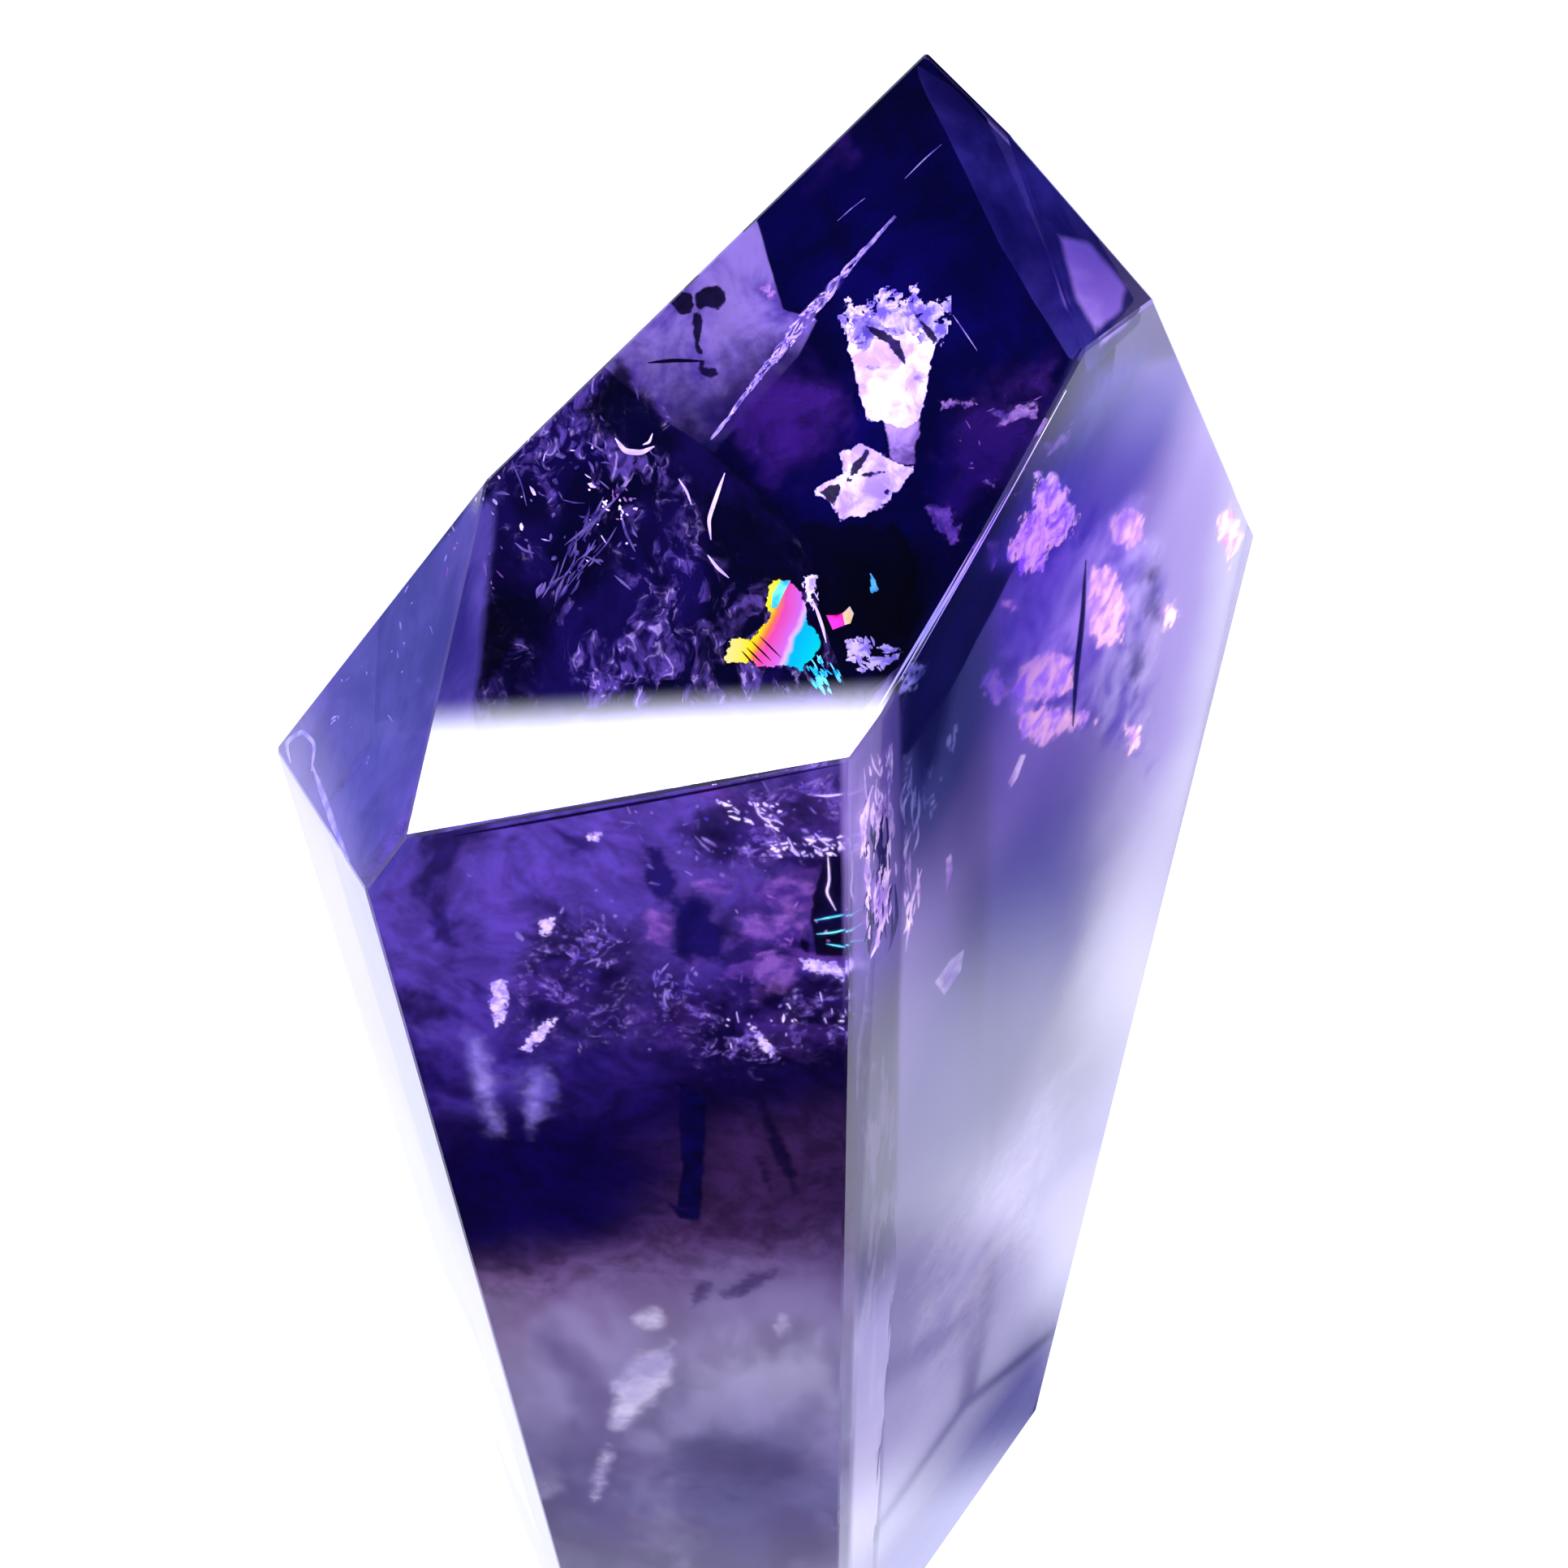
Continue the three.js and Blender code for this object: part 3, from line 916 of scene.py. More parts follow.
def add_front_tip_walls():
    """The fracture walls and clouds behind the front tip face, down to its crackled dome. All but the night veil and
    the black gaps glow: painted light.
    """
    whole_tip = [(1138, 60), (1200, 110), (1345, 430), (1230, 640), (1110, 820), (1040, 880), (940, 900), (520, 900),
                 (500, 740), (560, 650), (720, 480)]
    night = veil_material("night_veil", tone(5, 3, 70), tone(21, 14, 118), 6, cover=1.0, softness=0.01, ragged=0.0,
                          contrast=0.16)
    sheets("night_veil", night, FRONT_TIP, whole_tip, depth=10, ripple=0.3, tilt=(-1.2, 0), step=9)

    lit_outline = [(880, 260), (933, 268), (966, 381), (1010, 392), (985, 440), (930, 500), (880, 560), (820, 520),
                   (740, 450), (740, 380)]
    lit = veil_material("lit_veil", tone(100, 80, 170), tone(194, 182, 236), 3.2, cover=0.97, softness=0.03, ragged=0.02,
                        painted_glow=0.7, contrast=0.16, fading=True)
    sheets("lit_veil", lit, FRONT_TIP, lit_outline, depth=6, ripple=1, step=5)

    middle = [(900, 400), (965, 395), (1010, 425), (1055, 470), (1060, 540), (1010, 590), (960, 625), (900, 575), (850, 500)]
    smoky = [(910, 470), (940, 455), (990, 458), (1018, 490), (1014, 520), (960, 522), (915, 520)]
    beside_window = [(1155, 475), (1310, 420), (1300, 540), (1235, 640), (1160, 720), (1130, 640)]
    by_right_tip = [(1262, 330), (1300, 335), (1305, 390), (1265, 395)]
    under_tip = [(1010, 150), (1090, 110), (1060, 200), (980, 260)]
    plum = veil_material("plum_veil", tone(20, 9, 92), tone(120, 66, 186), 2.8, cover=0.7, softness=0.5, ragged=0.5,
                         painted_glow=0.12, contrast=0.16)
    sheets("plum_veil", plum, FRONT_TIP, middle, smoky, beside_window, by_right_tip, under_tip, depth=5.4, ripple=0.6)

    square = [(1142, 624), (1178, 616), (1184, 668), (1168, 672), (1150, 650)]
    pink_patch = [(1214, 594), (1246, 588), (1248, 604), (1220, 610)]
    upper_pink = [(1156, 494), (1200, 492), (1196, 502), (1160, 504)]
    side_pink = [(1222, 506), (1276, 494), (1278, 516), (1230, 524)]
    lit_spot = [(938, 344), (952, 350), (958, 366), (946, 368), (936, 358)]
    grey = veil_material("pink_patches", tone(110, 84, 170), tone(236, 190, 240), 1.1, cover=0.9, softness=0.08,
                         ragged=0.25, painted_glow=0.9, contrast=0.14)
    sheets("pink_patches", grey, FRONT_TIP, square, pink_patch, upper_pink, side_pink, lit_spot, depth=5, ripple=0.4,
           step=4)

    dome_outline = [(740, 440), (766, 430), (795, 462), (830, 518), (890, 568), (950, 620), (985, 665), (1003, 705),
                    (1012, 760), (1046, 850), (1000, 885), (800, 900), (520, 910), (535, 760), (560, 640), (690, 490)]
    dome = crackle_material("crackled_dome", tone(4, 2, 46), tone(30, 18, 90), tone(132, 112, 196), tone(244, 236, 255),
                            1.1, gaps=0.49, softness=0.02, ragged=0.02, painted_glow=0.6, stretch=(1.0, 0.7, 0.45))
    sheets("crackled_dome", dome, FRONT_TIP, dome_outline, depth=7, bulge=2, ripple=1.5, step=6)

    corner_dark = [(545, 733), (640, 735), (652, 752), (640, 790), (600, 850), (560, 868), (535, 850)]
    dome_right = [(870, 600), (930, 630), (980, 690), (1000, 740), (960, 735), (900, 700), (860, 650)]
    beside_dome = [(985, 645), (1020, 640), (1110, 640), (1140, 700), (1110, 780), (1060, 815), (1020, 760)]
    dome_top = [(705, 505), (762, 442), (800, 480), (846, 545), (800, 560), (740, 545)]
    black = veil_material("black_gaps", tone(2, 1, 36), tone(9, 5, 64), 6, cover=0.92, softness=0.14, ragged=0.3)
    sheets("black_gaps", black, FRONT_TIP, corner_dark, dome_right, beside_dome, dome_top, depth=4.6, ripple=0.6)


def add_front_walls():
    """The smoke, the shattered walls and the bright veils behind the front face. All but the blue hollows and the black
    pane glow: painted light.
    """
    whole_front = [(390, 1060), (440, 990), (800, 930), (1095, 880), (1095, 2350), (740, 2350), (630, 1932), (505, 1510)]
    sheets("front_smoke", smoke_material(), FRONT, whole_front, depth=8, ripple=0.5, tilt=(-0.6, 0), step=9)

    left_cluster = [(640, 1140), (700, 1110), (780, 1130), (800, 1200), (790, 1290), (700, 1310), (630, 1280), (620, 1200)]
    top_cluster = [(820, 1000), (900, 960), (1056, 930), (1056, 1090), (960, 1090), (880, 1080), (820, 1050)]
    foot_cluster = [(790, 1190), (900, 1210), (1056, 1180), (1056, 1310), (930, 1330), (840, 1310), (780, 1280)]
    shattered = crackle_material("shattered_wall", tone(12, 5, 54), tone(72, 46, 128), tone(160, 134, 214),
                                 tone(244, 234, 255), 0.9, gaps=0.49, cover=0.97, floor=0.70, softness=0.35, ragged=0.4,
                                 painted_glow=0.55)
    sheets("shattered_wall", shattered, FRONT, left_cluster, top_cluster, foot_cluster, depth=5, ripple=2)

    orb = [(925, 1195), (932, 1178), (950, 1168), (972, 1170), (986, 1186), (984, 1212), (968, 1228), (944, 1230), (928, 1216)]
    upper_facet = [(908, 1092), (950, 1080), (985, 1078), (1012, 1090), (1000, 1120), (985, 1132), (940, 1120)]
    side_facet = [(906, 1130), (950, 1122), (996, 1130), (998, 1165), (960, 1168), (912, 1160)]
    light_facet = [(842, 1086), (880, 1082), (916, 1080), (900, 1102), (872, 1104)]
    diamond = [(790, 1112), (815, 1118), (838, 1145), (820, 1168), (795, 1160)]
    violet = veil_material("violet_facets", tone(96, 64, 150), tone(186, 138, 208), 1.3, cover=0.9, softness=0.10,
                           ragged=0.20, painted_glow=0.6, contrast=0.15)
    sheets("violet_facets", violet, FRONT, orb, upper_facet, side_facet, light_facet, diamond, depth=5.2, ripple=0.5,
           step=4)

    top_hollow = [(790, 1040), (812, 1036), (836, 1060), (836, 1112), (808, 1118), (792, 1090)]
    low_hollow = [(826, 1106), (862, 1100), (880, 1110), (897, 1150), (896, 1184), (850, 1188), (820, 1180), (826, 1160)]
    under_chips = [(960, 1040), (1050, 1036), (1050, 1060), (990, 1078), (950, 1062)]
    foot_hollow = [(986, 1200), (1050, 1206), (1050, 1250), (1000, 1240)]
    hollow = veil_material("blue_hollows", tone(8, 6, 70), tone(52, 44, 140), 2.2, cover=0.9, softness=0.12, ragged=0.25)
    sheets("blue_hollows", hollow, FRONT, top_hollow, low_hollow, under_chips, foot_hollow, depth=5.4, ripple=0.5,
           step=5)

    black_pane = [(1000, 1104), (1012, 1060), (1052, 1040), (1056, 1184), (1004, 1178), (998, 1140)]
    by_orb = [(985, 1150), (1000, 1160), (996, 1178), (984, 1170)]
    pane = veil_material("black_pane", tone(2, 1, 26), tone(20, 14, 74), 2, cover=0.98, softness=0.04, ragged=0.06)
    sheets("black_pane", pane, FRONT, black_pane, by_orb, depth=3.6, ripple=0.2, step=4)

    left_veil = [(556, 1264), (600, 1270), (622, 1340), (628, 1404), (600, 1408), (576, 1356)]
    right_veil = [(634, 1310), (658, 1284), (700, 1330), (684, 1376), (650, 1410), (628, 1350)]
    pale = veil_material("blue_white_veil", tone(118, 112, 190), tone(214, 212, 246), 3, cover=0.85, softness=0.35,
                         ragged=0.3, painted_glow=0.8)
    sheets("blue_white_veil", pale, FRONT, left_veil, right_veil, depth=5, ripple=1)


def add_foot_clouds():
    """The soft pale smears and the darker cloud low in the front face. The pale smears glow: painted light."""
    left_smear = [(768, 1626), (786, 1608), (812, 1606), (832, 1624), (806, 1642), (780, 1640)]
    right_smear = [(944, 1632), (962, 1618), (984, 1626), (982, 1644), (958, 1648)]
    pale_slope = [(752, 1700), (780, 1660), (830, 1650), (846, 1680), (806, 1740), (764, 1772), (742, 1760)]
    low_smear = [(722, 1830), (738, 1780), (756, 1776), (760, 1800), (744, 1850), (726, 1856)]
    smear = veil_material("pale_smears", tone(176, 166, 208), tone(236, 230, 248), 4, cover=0.75, softness=0.2,
                          ragged=0.2, painted_glow=0.5)
    sheets("pale_smears", smear, FRONT, left_smear, right_smear, pale_slope, low_smear, depth=5, ripple=0.3, step=5)

    dark_cloud = [(790, 1770), (850, 1745), (940, 1750), (1020, 1760), (1030, 1840), (940, 1870), (850, 1860), (796, 1830)]
    cloud = veil_material("dusky_cloud", tone(74, 62, 122), tone(110, 98, 156), 8, cover=0.45, softness=0.6, ragged=0.5)
    sheets("dusky_cloud", cloud, FRONT, dark_cloud, depth=5.5, ripple=0.5)


def add_dark_specks():
    """The black specks and the needle left of the rope, and the indigo blades low in the front face."""
    right_blob = [(856, 360), (866, 353), (884, 351), (896, 360), (896, 372), (886, 382), (872, 380), (862, 384), (854, 376)]
    left_blob = [(823, 372), (836, 358), (852, 360), (858, 376), (852, 388), (838, 390)]
    tail = [(852, 384), (864, 384), (868, 402), (862, 424), (870, 440), (858, 436), (852, 410)]
    hook = [(862, 441), (870, 446), (868, 452), (884, 452), (888, 462), (876, 467), (862, 464), (860, 454)]
    speck = veil_material("dark_specks", tone(3, 2, 30), tone(60, 50, 110), 1.2, cover=0.98, softness=0.03, ragged=0.06,
                          contrast=0.3)
    sheets("dark_specks", speck, FRONT_TIP, right_blob, left_blob, tail, hook, depth=2.6, ripple=0.2, step=2)
    needle = Piece("dark_needle", fleck_material("dark_needle", tone(5, 3, 30), tone(30, 22, 70)))
    add_strand(needle, FRONT_TIP, [(798, 447), (830, 444), (868, 445)], (2.6, 2.6), 5)
    needle.finish()

    shadow = Piece("edge_shadow", fleck_material("edge_shadow", tone(14, 8, 60), tone(30, 18, 96)))
    add_strand(shadow, FRONT, [(560, 1030), (640, 1016), (850, 978), (1050, 939)], (1.6, 1.6), 4)
    shadow.finish()

    long_blade = [(836, 1340), (872, 1346), (871, 1400), (867, 1470), (863, 1496), (832, 1492), (839, 1440), (835, 1390)]
    foot = [(818, 1478), (842, 1488), (866, 1484), (862, 1504), (836, 1504)]
    head = [(828, 1330), (848, 1335), (866, 1346), (846, 1354)]
    blade = veil_material("indigo_blades", tone(2, 1, 40), tone(24, 20, 96), 2.4, cover=1.0, softness=0.04, ragged=0.05)
    sheets("indigo_blades", blade, FRONT, long_blade, foot, head, depth=5, ripple=0.3, step=3)

    upper_mauve = [(926, 1350), (946, 1352), (968, 1400), (990, 1470), (976, 1476), (956, 1440), (940, 1400)]
    lower_mauve = [(928, 1420), (942, 1424), (956, 1462), (950, 1482), (936, 1456)]
    mauve = veil_material("mauve_blades", tone(26, 10, 60), tone(56, 34, 92), 2.4, cover=0.9, softness=0.10, ragged=0.15)
    sheets("mauve_blades", mauve, FRONT, upper_mauve, lower_mauve, depth=6, ripple=0.3, step=4)

    long_lilac = [(880, 1592), (915, 1570), (972, 1558), (950, 1582), (905, 1605), (882, 1610)]
    short_lilac = [(846, 1585), (864, 1575), (880, 1580), (876, 1602), (850, 1612)]
    lilac = veil_material("lilac_blades", tone(76, 50, 112), tone(104, 78, 142), 2.4, cover=0.7, softness=0.10, ragged=0.15)
    sheets("lilac_blades", lilac, FRONT, long_lilac, short_lilac, depth=6, ripple=0.3, step=4)


def add_pale_flecks():
    """The larger bright splinters and bent threads of the dome and of the top of the front face. They glow: painted
    highlights.
    """
    crown = [(610, 560), (680, 535), (760, 560), (800, 640), (770, 720), (700, 720), (600, 640)]
    ridge = [(690, 500), (760, 445), (850, 540), (780, 600)]
    diagonal = [(790, 610), (840, 560), (690, 740), (680, 720)]
    low_diagonal = [(655, 740), (705, 640), (745, 620), (715, 740)]
    grey = Piece("grey_flecks", fleck_material("grey_flecks", tone(66, 50, 140), tone(165, 155, 215), 0.5))
    rng = random.Random(31)
    add_arcs(grey, FRONT_TIP, rng, crown, 22, (8, 60), (1.2, 4), 45, 50, (3, 5))
    scatter(grey, FRONT_TIP, rng, crown, 30, (5, 30), (3, 14), 45, 60, (3, 5))
    add_arcs(grey, FRONT_TIP, rng, ridge, 8, (8, 40), (1, 3), 60, 25, (3, 5))
    add_arcs(grey, FRONT_TIP, rng, diagonal, 14, (10, 50), (1, 3), 130, 12, (3, 5))
    add_arcs(grey, FRONT_TIP, rng, low_diagonal, 22, (20, 90), (1.5, 5), 118, 14, (3, 5))
    grey.finish()

    heart = [(740, 600), (790, 600), (790, 640), (750, 640)]
    by_edge = [(1040, 785), (1085, 790), (1098, 808), (1085, 828), (1050, 815)]
    by_rainbow = [(988, 715), (1008, 712), (1010, 760), (995, 752)]
    top_row = [(880, 985), (960, 990), (975, 1024), (915, 1018)]
    second_row = [(940, 1034), (1050, 1028), (1052, 1052), (960, 1056)]
    foot_row = [(985, 1210), (1046, 1212), (1046, 1270), (900, 1290), (860, 1270), (930, 1240)]
    left_cluster = [(700, 1144), (745, 1140), (750, 1200), (735, 1222), (705, 1215)]
    middle_cluster = [(805, 1196), (860, 1190), (862, 1226), (812, 1232)]
    white = Piece("white_flecks", fleck_material("white_flecks", tone(200, 190, 240), tone(254, 250, 255), 2.0))
    rng = random.Random(37)
    add_strand(white, FRONT_TIP, [(758, 540), (770, 556), (790, 558), (806, 550)], (3.4, 3.4), 7)
    add_strand(white, FRONT_TIP, [(792, 548), (800, 545), (804, 534)], (3.4, 3.4), 3)
    add_strand(white, FRONT_TIP, [(893, 583), (884, 608), (873, 640), (876, 665)], (3.4, 3.4), 5)
    add_strand(white, FRONT_TIP, [(872, 684), (884, 700), (898, 712)], (3.4, 3.4), 4)
    add_strand(white, FRONT_TIP, [(836, 590), (846, 605), (852, 622)], (3.4, 3.4), 3)
    scatter(white, FRONT_TIP, rng, crown, 24, (4, 20), (2, 8), 45, 60, (3, 4))
    scatter(white, FRONT_TIP, rng, heart, 8, (6, 16), (3, 9), 45, 50, (3, 4))
    add_strand(white, FRONT_TIP, [(1001, 738), (1008, 756), (1014, 774), (1018, 792)], (3.4, 3.4), 4)
    add_arcs(white, FRONT_TIP, rng, by_edge, 18, (8, 34), (2, 6), 30, 60, (3, 4))
    scatter(white, FRONT_TIP, rng, by_rainbow, 10, (8, 28), (2, 6), 85, 25, (3, 4))
    scatter(white, FRONT, rng, top_row, 44, (5, 24), (2, 5), 20, 30, (3, 5))
    scatter(white, FRONT, rng, second_row, 60, (5, 26), (2, 6), 25, 40, (3, 5))
    scatter(white, FRONT, rng, foot_row, 20, (4, 22), (1.5, 5), 50, 50, (3, 5))
    add_strand(white, FRONT, [(1020, 1052), (1022, 1085), (1018, 1100), (1030, 1122)], (3, 3), 3)
    add_strand(white, FRONT, [(1004, 980), (1020, 981), (1042, 978)], (3, 3), 3)
    white.finish()

    lilac = Piece("lilac_flecks", fleck_material("lilac_flecks", tone(105, 84, 190), tone(205, 190, 240), 0.6))
    rng = random.Random(38)
    add_arcs(lilac, FRONT, rng, left_cluster, 34, (6, 26), (2, 5), 60, 90, (3, 5))
    add_arcs(lilac, FRONT, rng, middle_cluster, 24, (6, 26), (2, 5), 30, 90, (3, 5))
    scatter(lilac, FRONT, rng, [(560, 1080), (760, 1050), (760, 1290), (600, 1300)], 14, (5, 30), (3, 12), 60, 70, (3, 6))
    scatter(lilac, FRONT, rng, [(760, 1000), (1045, 950), (1045, 1080), (800, 1090)], 60, (5, 44), (3, 8), 20, 50, (3, 6))
    scatter(lilac, FRONT, rng, [(780, 1190), (1045, 1190), (1045, 1290), (800, 1300)], 14, (4, 26), (2, 9), 30, 80, (3, 6))
    lilac.finish()

    left_chip = [(604, 1214), (612, 1204), (624, 1208), (627, 1230), (619, 1262), (610, 1264), (603, 1240)]
    low_chip = [(922, 1262), (930, 1266), (956, 1296), (950, 1302), (934, 1286)]
    split_chip = [(640, 1292), (668, 1258), (688, 1254), (672, 1276), (652, 1296)]
    wavy_stripe = [(985, 1180), (1005, 1184), (1030, 1186), (1046, 1198), (1044, 1210), (1020, 1200), (992, 1196)]
    orb_chip = [(664, 1134), (684, 1130), (680, 1150), (666, 1154)]
    top_chip = [(724, 1028), (740, 1026), (738, 1038), (726, 1038)]
    chip = veil_material("bright_chips", tone(176, 162, 224), tone(255, 252, 255), 0.5, cover=1.0, softness=0.01,
                         ragged=0.16, painted_glow=1.3, contrast=0.12)
    sheets("bright_chips", chip, FRONT, left_chip, low_chip, split_chip, wavy_stripe, orb_chip, top_chip, depth=3.6,
           ripple=0.3, step=2)

    first_chip = [(1040, 790), (1056, 786), (1074, 796), (1075, 806), (1058, 813), (1046, 808)]
    second_chip = [(1056, 824), (1074, 813), (1096, 808), (1113, 805), (1100, 816), (1080, 822), (1064, 829)]
    third_chip = [(1082, 798), (1096, 793), (1108, 800), (1096, 804)]
    upright_chip = [(990, 712), (998, 707), (1007, 710), (1003, 726), (1001, 744), (995, 742), (993, 728)]
    tip_chip = veil_material("tip_chips", tone(170, 158, 222), tone(255, 252, 255), 0.5, cover=1.0, softness=0.01,
                             ragged=0.16, painted_glow=2.6, contrast=0.12)
    sheets("tip_chips", tip_chip, FRONT_TIP, first_chip, second_chip, third_chip, upright_chip, depth=3.2, ripple=0.3,
           step=2)

    rose = Piece("rose_flecks", fleck_material("rose_flecks", tone(150, 95, 195), tone(230, 170, 225), 0.6))
    rng = random.Random(39)
    scatter(rose, FRONT_TIP, rng, [(560, 650), (620, 640), (620, 730), (560, 725)], 22, (6, 30), (2, 8), 60, 40, (3, 5))
    scatter(rose, FRONT_TIP, rng, heart, 8, (6, 22), (3, 8), 45, 50, (3, 4))
    scatter(rose, FRONT_TIP, rng, [(1160, 490), (1280, 490), (1240, 560), (1180, 600)], 10, (4, 24), (2, 6), 20, 60, (3, 5))
    scatter(rose, FRONT, rng, [(900, 1100), (1030, 1050), (1020, 1200), (930, 1200)], 14, (5, 24), (3, 9), 60, 70, (3, 6))
    rose.finish()


def add_right_walls():
    """The veils and the pink-lit fracture walls behind the right face. The pink walls glow as painted light, and so do
    the lilac wall, the pale cloud and the veils along the edge.
    """
    behind_middle = [(1250, 640), (1340, 600), (1420, 600), (1450, 680), (1440, 820), (1420, 980), (1400, 950),
                     (1330, 920), (1240, 900), (1210, 800)]
    lilac = veil_material("lilac_wall", tone(104, 84, 190), tone(212, 198, 248), 4, cover=0.8, softness=0.5, ragged=0.5,
                          painted_glow=1.1, contrast=0.16)
    sheets("lilac_wall", lilac, RIGHT, behind_middle, depth=7, ripple=2)

    low_right = [(1110, 1500), (1200, 1400), (1300, 1300), (1370, 1240), (1290, 1560), (1200, 1700), (1110, 1760)]
    low = veil_material("low_pale_cloud", tone(196, 188, 236), tone(236, 230, 252), 9, cover=0.6, softness=0.9, ragged=0.6,
                        painted_glow=0.5)
    sheets("low_pale_cloud", low, RIGHT, low_right, depth=6, ripple=2)

    tall_patch = [(1276, 584), (1300, 578), (1320, 610), (1330, 640), (1314, 668), (1294, 674), (1286, 706), (1262, 712),
                  (1240, 686), (1256, 640), (1272, 626)]
    square_patch = [(1366, 636), (1388, 620), (1408, 632), (1412, 668), (1390, 680), (1366, 668)]
    beside_line = [(1340, 700), (1370, 690), (1392, 740), (1384, 794), (1350, 800), (1336, 760)]
    low_patch = [(1258, 822), (1300, 796), (1326, 808), (1326, 852), (1296, 862), (1262, 870), (1244, 852)]
    foot_patch = [(1250, 870), (1310, 870), (1344, 878), (1356, 892), (1314, 902), (1290, 922), (1256, 912)]
    right_spot = [(1384, 890), (1404, 894), (1408, 920), (1390, 934)]
    left_spot = [(1204, 830), (1232, 820), (1242, 850), (1234, 874), (1214, 864)]
    high_spot = [(1428, 750), (1450, 736), (1454, 762), (1432, 778)]
    edge_spot = [(1496, 640), (1518, 616), (1534, 670), (1512, 704)]
    small_left = [(1232, 738), (1250, 732), (1256, 750), (1240, 758)]
    rose = veil_material("rose_walls", tone(172, 130, 216), tone(255, 210, 200), 1.5, cover=0.95, softness=0.07,
                         ragged=0.2, painted_glow=2.5, contrast=0.13)
    near = veil_material("rose_splinter", tone(150, 108, 178), tone(255, 240, 170), 1.2, cover=0.95, softness=0.07,
                         ragged=0.25, painted_glow=4.6, contrast=0.13)
    sheets("rose_splinter", near, RIGHT, tall_patch, depth=0.7, ripple=0.1, step=4)
    sheets("rose_walls", rose, RIGHT, square_patch, beside_line, low_patch, foot_patch, right_spot, left_spot,
           high_spot, edge_spot, small_left, depth=4, ripple=0.5, step=4)

    high_shadow = [(1402, 700), (1436, 690), (1440, 770), (1412, 780)]
    low_shadow = [(1385, 790), (1415, 785), (1412, 870), (1388, 870)]
    dark = veil_material("right_shadows", tone(60, 56, 140), tone(100, 98, 180), 5, cover=0.75, softness=0.25, ragged=0.3)
    sheets("right_shadows", dark, RIGHT, high_shadow, low_shadow, depth=3, ripple=0.5, step=5)

    # Painted light: the edge haze and the edge veil glow blue-violet over the grey that the right face mirrors near its
    # edge.
    above_it = [(1335, 440), (1430, 400), (1425, 480), (1362, 600), (1310, 690), (1262, 730), (1200, 700)]
    pale_edge = veil_material("edge_haze", tone(76, 74, 160), tone(140, 142, 212), 9, cover=0.85, softness=0.45,
                              ragged=0.1, painted_glow=1.1)
    sheets("edge_haze", pale_edge, RIGHT, above_it, depth=1.0, ripple=0.2, step=6)
    along_edge = [(1262, 590), (1290, 580), (1262, 640), (1236, 700), (1205, 800), (1170, 940), (1112, 1050),
                  (1112, 826), (1230, 640)]
    slate = veil_material("edge_veil", tone(30, 24, 108), tone(80, 74, 172), 7, cover=0.9, softness=0.3, ragged=0.15,
                          painted_glow=0.35)
    sheets("edge_veil", slate, RIGHT, along_edge, depth=1.2, ripple=0.3, step=6)

    line = Piece("dark_line", fleck_material("dark_line", tone(30, 28, 100), tone(50, 46, 130)))
    add_strand(line, RIGHT, [(1338, 690), (1334, 760), (1326, 830), (1322, 895)], (3, 3), 7)
    line.finish()


STRIP_COLOURS = [
    (50, (226, 220, 250)),
    (72, (200, 194, 236)),
    (84, (90, 82, 128)),
    (106, (84, 74, 118)),
    (113, (150, 136, 200)),
    (120, (205, 190, 240)),
]


def strip_haze_material():
    """The pale haze behind the narrow worn strip: lilac at the top, grey lilac below and pale at the foot."""
    s = Shader("strip_haze")
    height = s.parts(wavering(s, 6, 1.5))["Z"]
    low, high = STRIP_COLOURS[0][0], STRIP_COLOURS[-1][0]
    share = s.math("DIVIDE", s.math("SUBTRACT", height, low * MM), (high - low) * MM, clamp=True)
    colour = s.ramp(share, [((level - low) / (high - low), tone(*shown)) for level, shown in STRIP_COLOURS])
    streaks = s.noise(1, 4, 0.6, 0.3, s.stretched(700, 700, 90))
    colour = s.mix(s.spread(streaks, 0.50, 0.62, 0.0, 0.35), colour, tone(235, 228, 252))
    # The haze glows a little: painted light.
    return plain_surface(s, colour, s.spread(s.rim()[0], 0.0, 0.10, 0.0, 0.85), painted_glow=0.5)


def add_strip_haze():
    """The haze behind the worn strip, and a glowing strand just under the edge above it: a painted highlight for the
    fine bright line that the polished edge catches.
    """
    behind_strip = [(1040, 880), (1112, 815), (1118, 1000), (1116, 1500), (1110, 2100), (1040, 2100), (1050, 1500)]
    sheets("strip_haze", strip_haze_material(), STRIP, behind_strip, depth=1.0, ripple=0.2, step=5)
    # Painted highlight: a glowing strand inside the crystal along the polished edge.
    line = Piece("painted_edge_highlight", fleck_material("painted_edge_highlight", tone(220, 215, 250), tone(254, 252, 255), 4.0))
    add_strand(line, FRONT_TIP, [(1310, 478), (1242, 604), (1171, 724), (1123, 804), (1074, 886)], (0.5, 0.5), 4,
               skin=0.02)
    line.finish()


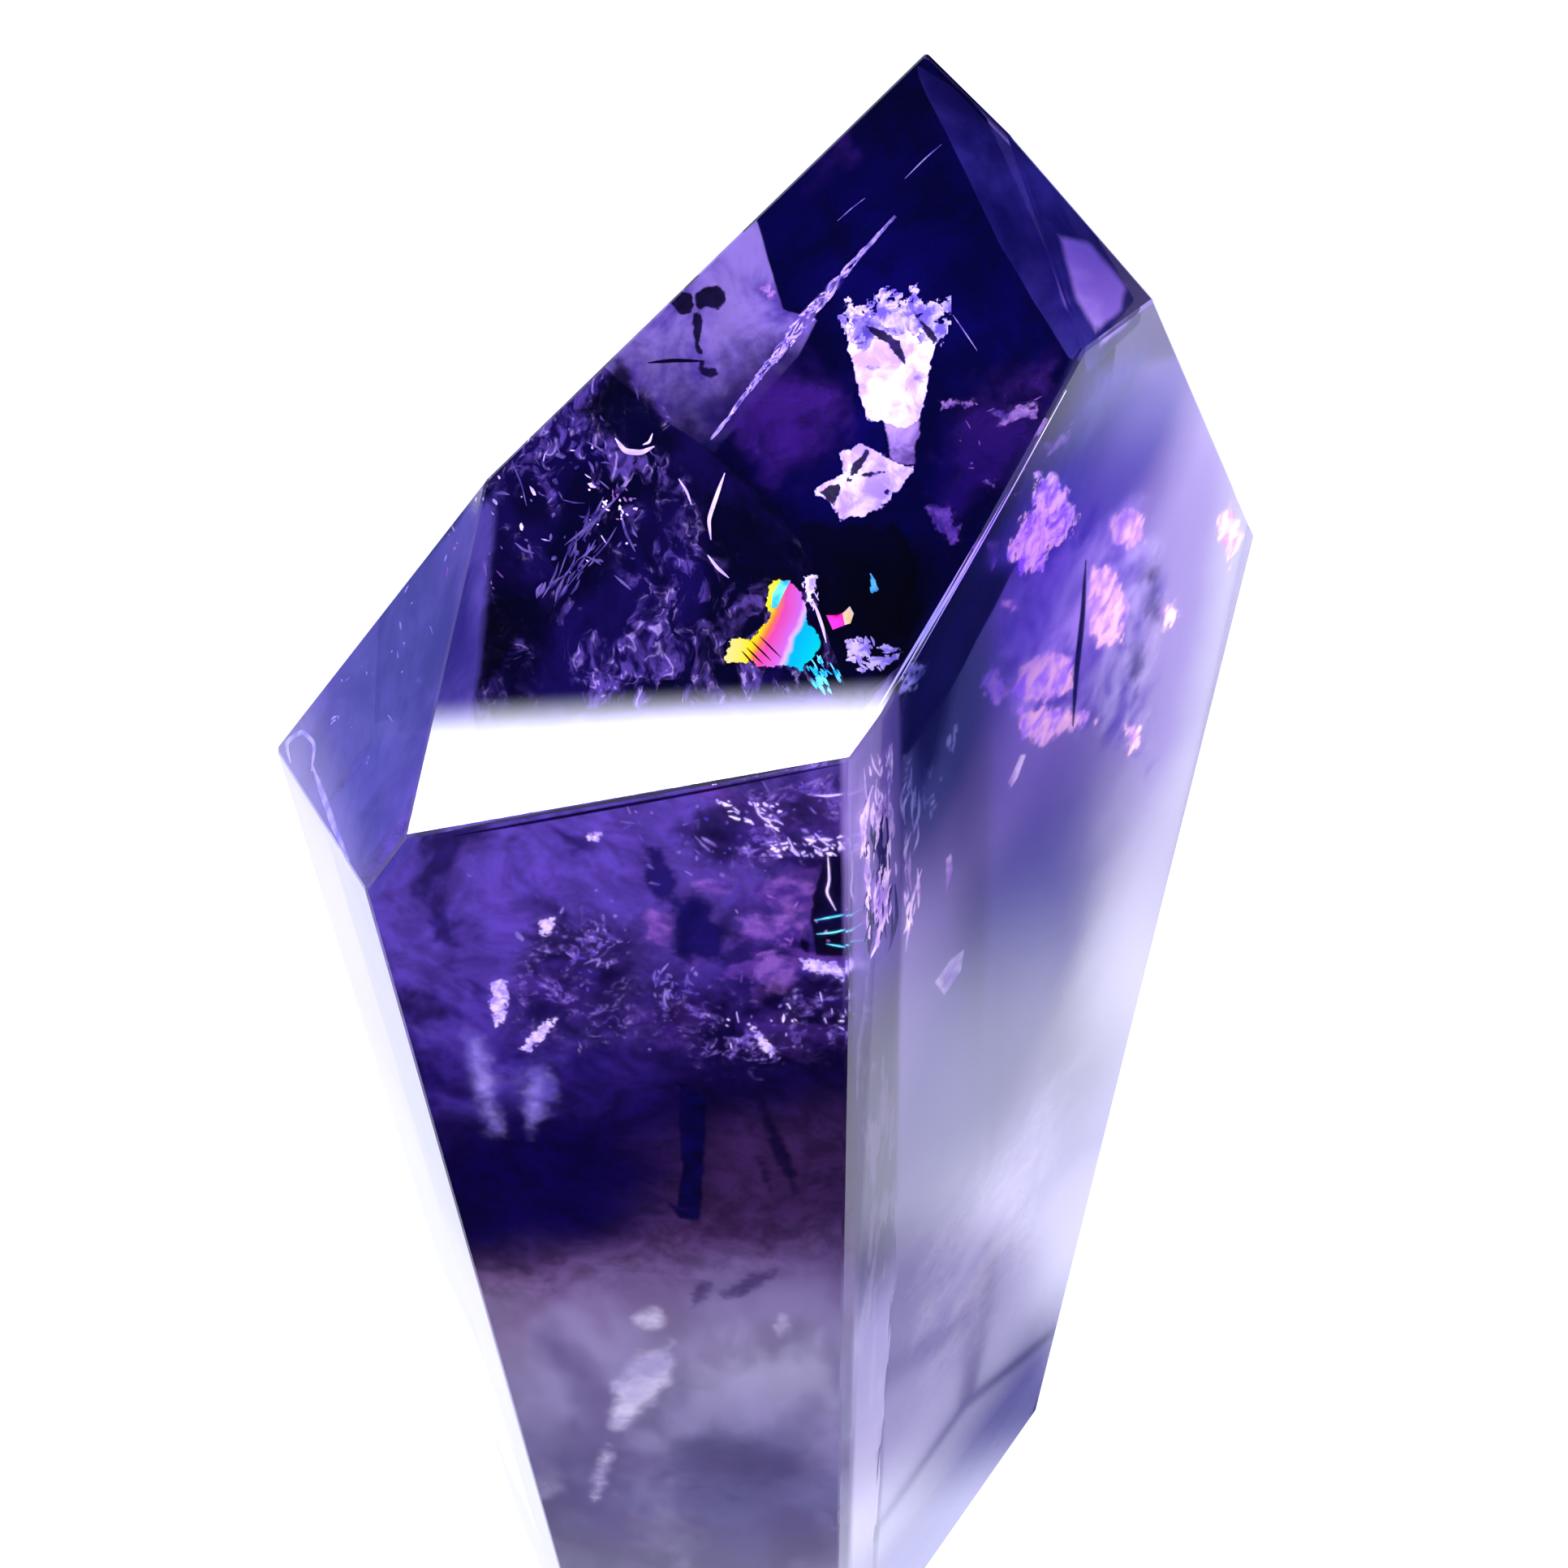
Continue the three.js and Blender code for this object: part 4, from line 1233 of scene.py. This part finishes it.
def add_strip_threads():
    """The upright threads and splinters beside the front corner. The bright threads glow: painted highlights."""
    shades = Piece("strip_shades", fleck_material("strip_shades", tone(70, 58, 132), tone(104, 90, 168)))
    rng = random.Random(50)
    add_arcs(shades, STRIP, rng, [(1062, 1010), (1104, 990), (1108, 1150), (1068, 1170)], 40, (20, 90), (1.6, 5), 94, 8,
             (0.8, 0.95))
    shades.finish()
    piece = Piece("strip_threads", fleck_material("strip_threads", tone(176, 150, 196), tone(255, 244, 236), 1.9))
    rng = random.Random(51)
    add_arcs(piece, STRIP, rng, [(1062, 1010), (1104, 990), (1108, 1130), (1068, 1160)], 110, (18, 110), (1.4, 4.6), 94, 8,
             (0.55, 0.8))
    add_arcs(piece, STRIP, rng, [(1064, 940), (1100, 890), (1104, 1010), (1066, 1020)], 30, (14, 70), (1.2, 3.4), 88, 20,
             (0.55, 0.8))
    add_arcs(piece, RIGHT, rng, [(1112, 960), (1128, 950), (1132, 1130), (1114, 1150)], 24, (18, 90), (1.4, 4), 94, 8,
             (0.8, 1.6))
    scatter(piece, RIGHT, rng, [(1110, 930), (1165, 950), (1150, 1010), (1110, 1000)], 22, (8, 34), (2, 6), 110, 30, (3, 5))
    scatter(piece, RIGHT, rng, [(1165, 895), (1185, 900), (1182, 925), (1165, 922)], 5, (16, 34), (3, 9), 85, 10, (3, 5))
    add_flake(piece, RIGHT, [(1166, 1058), (1172, 1052), (1174, 1070), (1166, 1100)], 3, 0.3)
    add_flake(piece, RIGHT, [(1152, 1210), (1172, 1182), (1188, 1170), (1184, 1196), (1164, 1226)], 3, 0.4)
    add_flake(piece, RIGHT, [(1242, 965), (1258, 930), (1264, 930), (1254, 958), (1246, 970)], 3, 0.3)
    piece.finish()


def add_tip_marks():
    """The haze, pale loops and flecks of the left tip face, and the veils behind the right one. All of them glow:
    painted light.
    """
    whole_left = [(320, 915), (600, 590), (560, 900), (500, 1010), (440, 1090), (400, 1040)]
    slate = veil_material("left_tip_haze", tone(84, 82, 160), tone(142, 138, 212), 7, cover=0.7, softness=0.1, ragged=0.1,
                          painted_glow=0.5)
    sheets("left_tip_haze", slate, LEFT_TIP, whole_left, depth=2, ripple=0.3, step=8)
    marks = Piece("left_tip_marks", fleck_material("left_tip_marks", tone(150, 150, 230), tone(225, 225, 255), 0.8))
    rng = random.Random(61)
    add_strand(marks, LEFT_TIP, [(358, 940), (352, 915), (372, 900), (388, 916), (384, 950)], (1.2, 1.2), 6)
    add_strand(marks, LEFT_TIP, [(384, 940), (398, 980), (412, 1020), (430, 1060)], (1.5, 1.5), 8)
    scatter(marks, LEFT_TIP, rng, [(404, 878), (420, 878), (420, 896), (404, 896)], 5, (8, 20), (2, 5), 130, 20, (1, 1.6))
    scatter(marks, LEFT_TIP, rng, [(400, 800), (560, 620), (560, 720), (450, 960)], 24, (4, 16), (2, 5), 90, 60, (1, 1.6))
    marks.finish()

    whole_right = [(1138, 50), (1260, 140), (1400, 370), (1340, 440), (1250, 290)]
    dusk = veil_material("right_tip_haze", tone(28, 24, 98), tone(76, 68, 160), 5, cover=0.9, softness=0.02, ragged=0.02,
                         painted_glow=0.7)
    sheets("right_tip_haze", dusk, RIGHT_TIP, whole_right, depth=2.4, ripple=0.3, step=6)
    violet_part = [(1300, 286), (1345, 296), (1392, 352), (1386, 385), (1350, 415), (1322, 372)]
    pane = veil_material("violet_pane", tone(120, 92, 168), tone(158, 138, 196), 5, cover=0.95, softness=0.10, ragged=0.05,
                         painted_glow=1.8)
    sheets("violet_pane", pane, RIGHT_TIP, violet_part, depth=1.6, ripple=0.2, step=5)


make_camera()
make_floor()
make_world()
# The front card and the foot card are painted shadows: dark cards that only reflections see, standing in for the shade
# on the table in front of the crystal and beside its foot.
make_card("card_right", (78, -45), (235, 125), 30, (0.02, 0.02, 0.24))
make_card("front_shadow_card", (-110, -190), (80, -26), 22, (0.02, 0.012, 0.04))
make_card("card_left", (-700, 90), (-270, 520), 60, (0.22, 0.25, 0.62))
make_card("foot_shadow_card", (18, -50), (56, 12), 10, (0.05, 0.05, 0.14))
CRYSTAL.data.materials.clear()
CRYSTAL.data.materials.append(amethyst_material())
add_clear_window()
add_rainbow()
add_rope()
add_front_tip_walls()
add_front_walls()
add_foot_clouds()
add_dark_specks()
add_pale_flecks()
add_right_walls()
add_strip_haze()
add_strip_threads()
add_tip_marks()

scene = bpy.context.scene
scene.view_settings.view_transform = "Standard"
scene.cycles.max_bounces = 12
scene.cycles.transmission_bounces = 12
scene.cycles.glossy_bounces = 8
scene.cycles.diffuse_bounces = 2
scene.cycles.transparent_max_bounces = 24
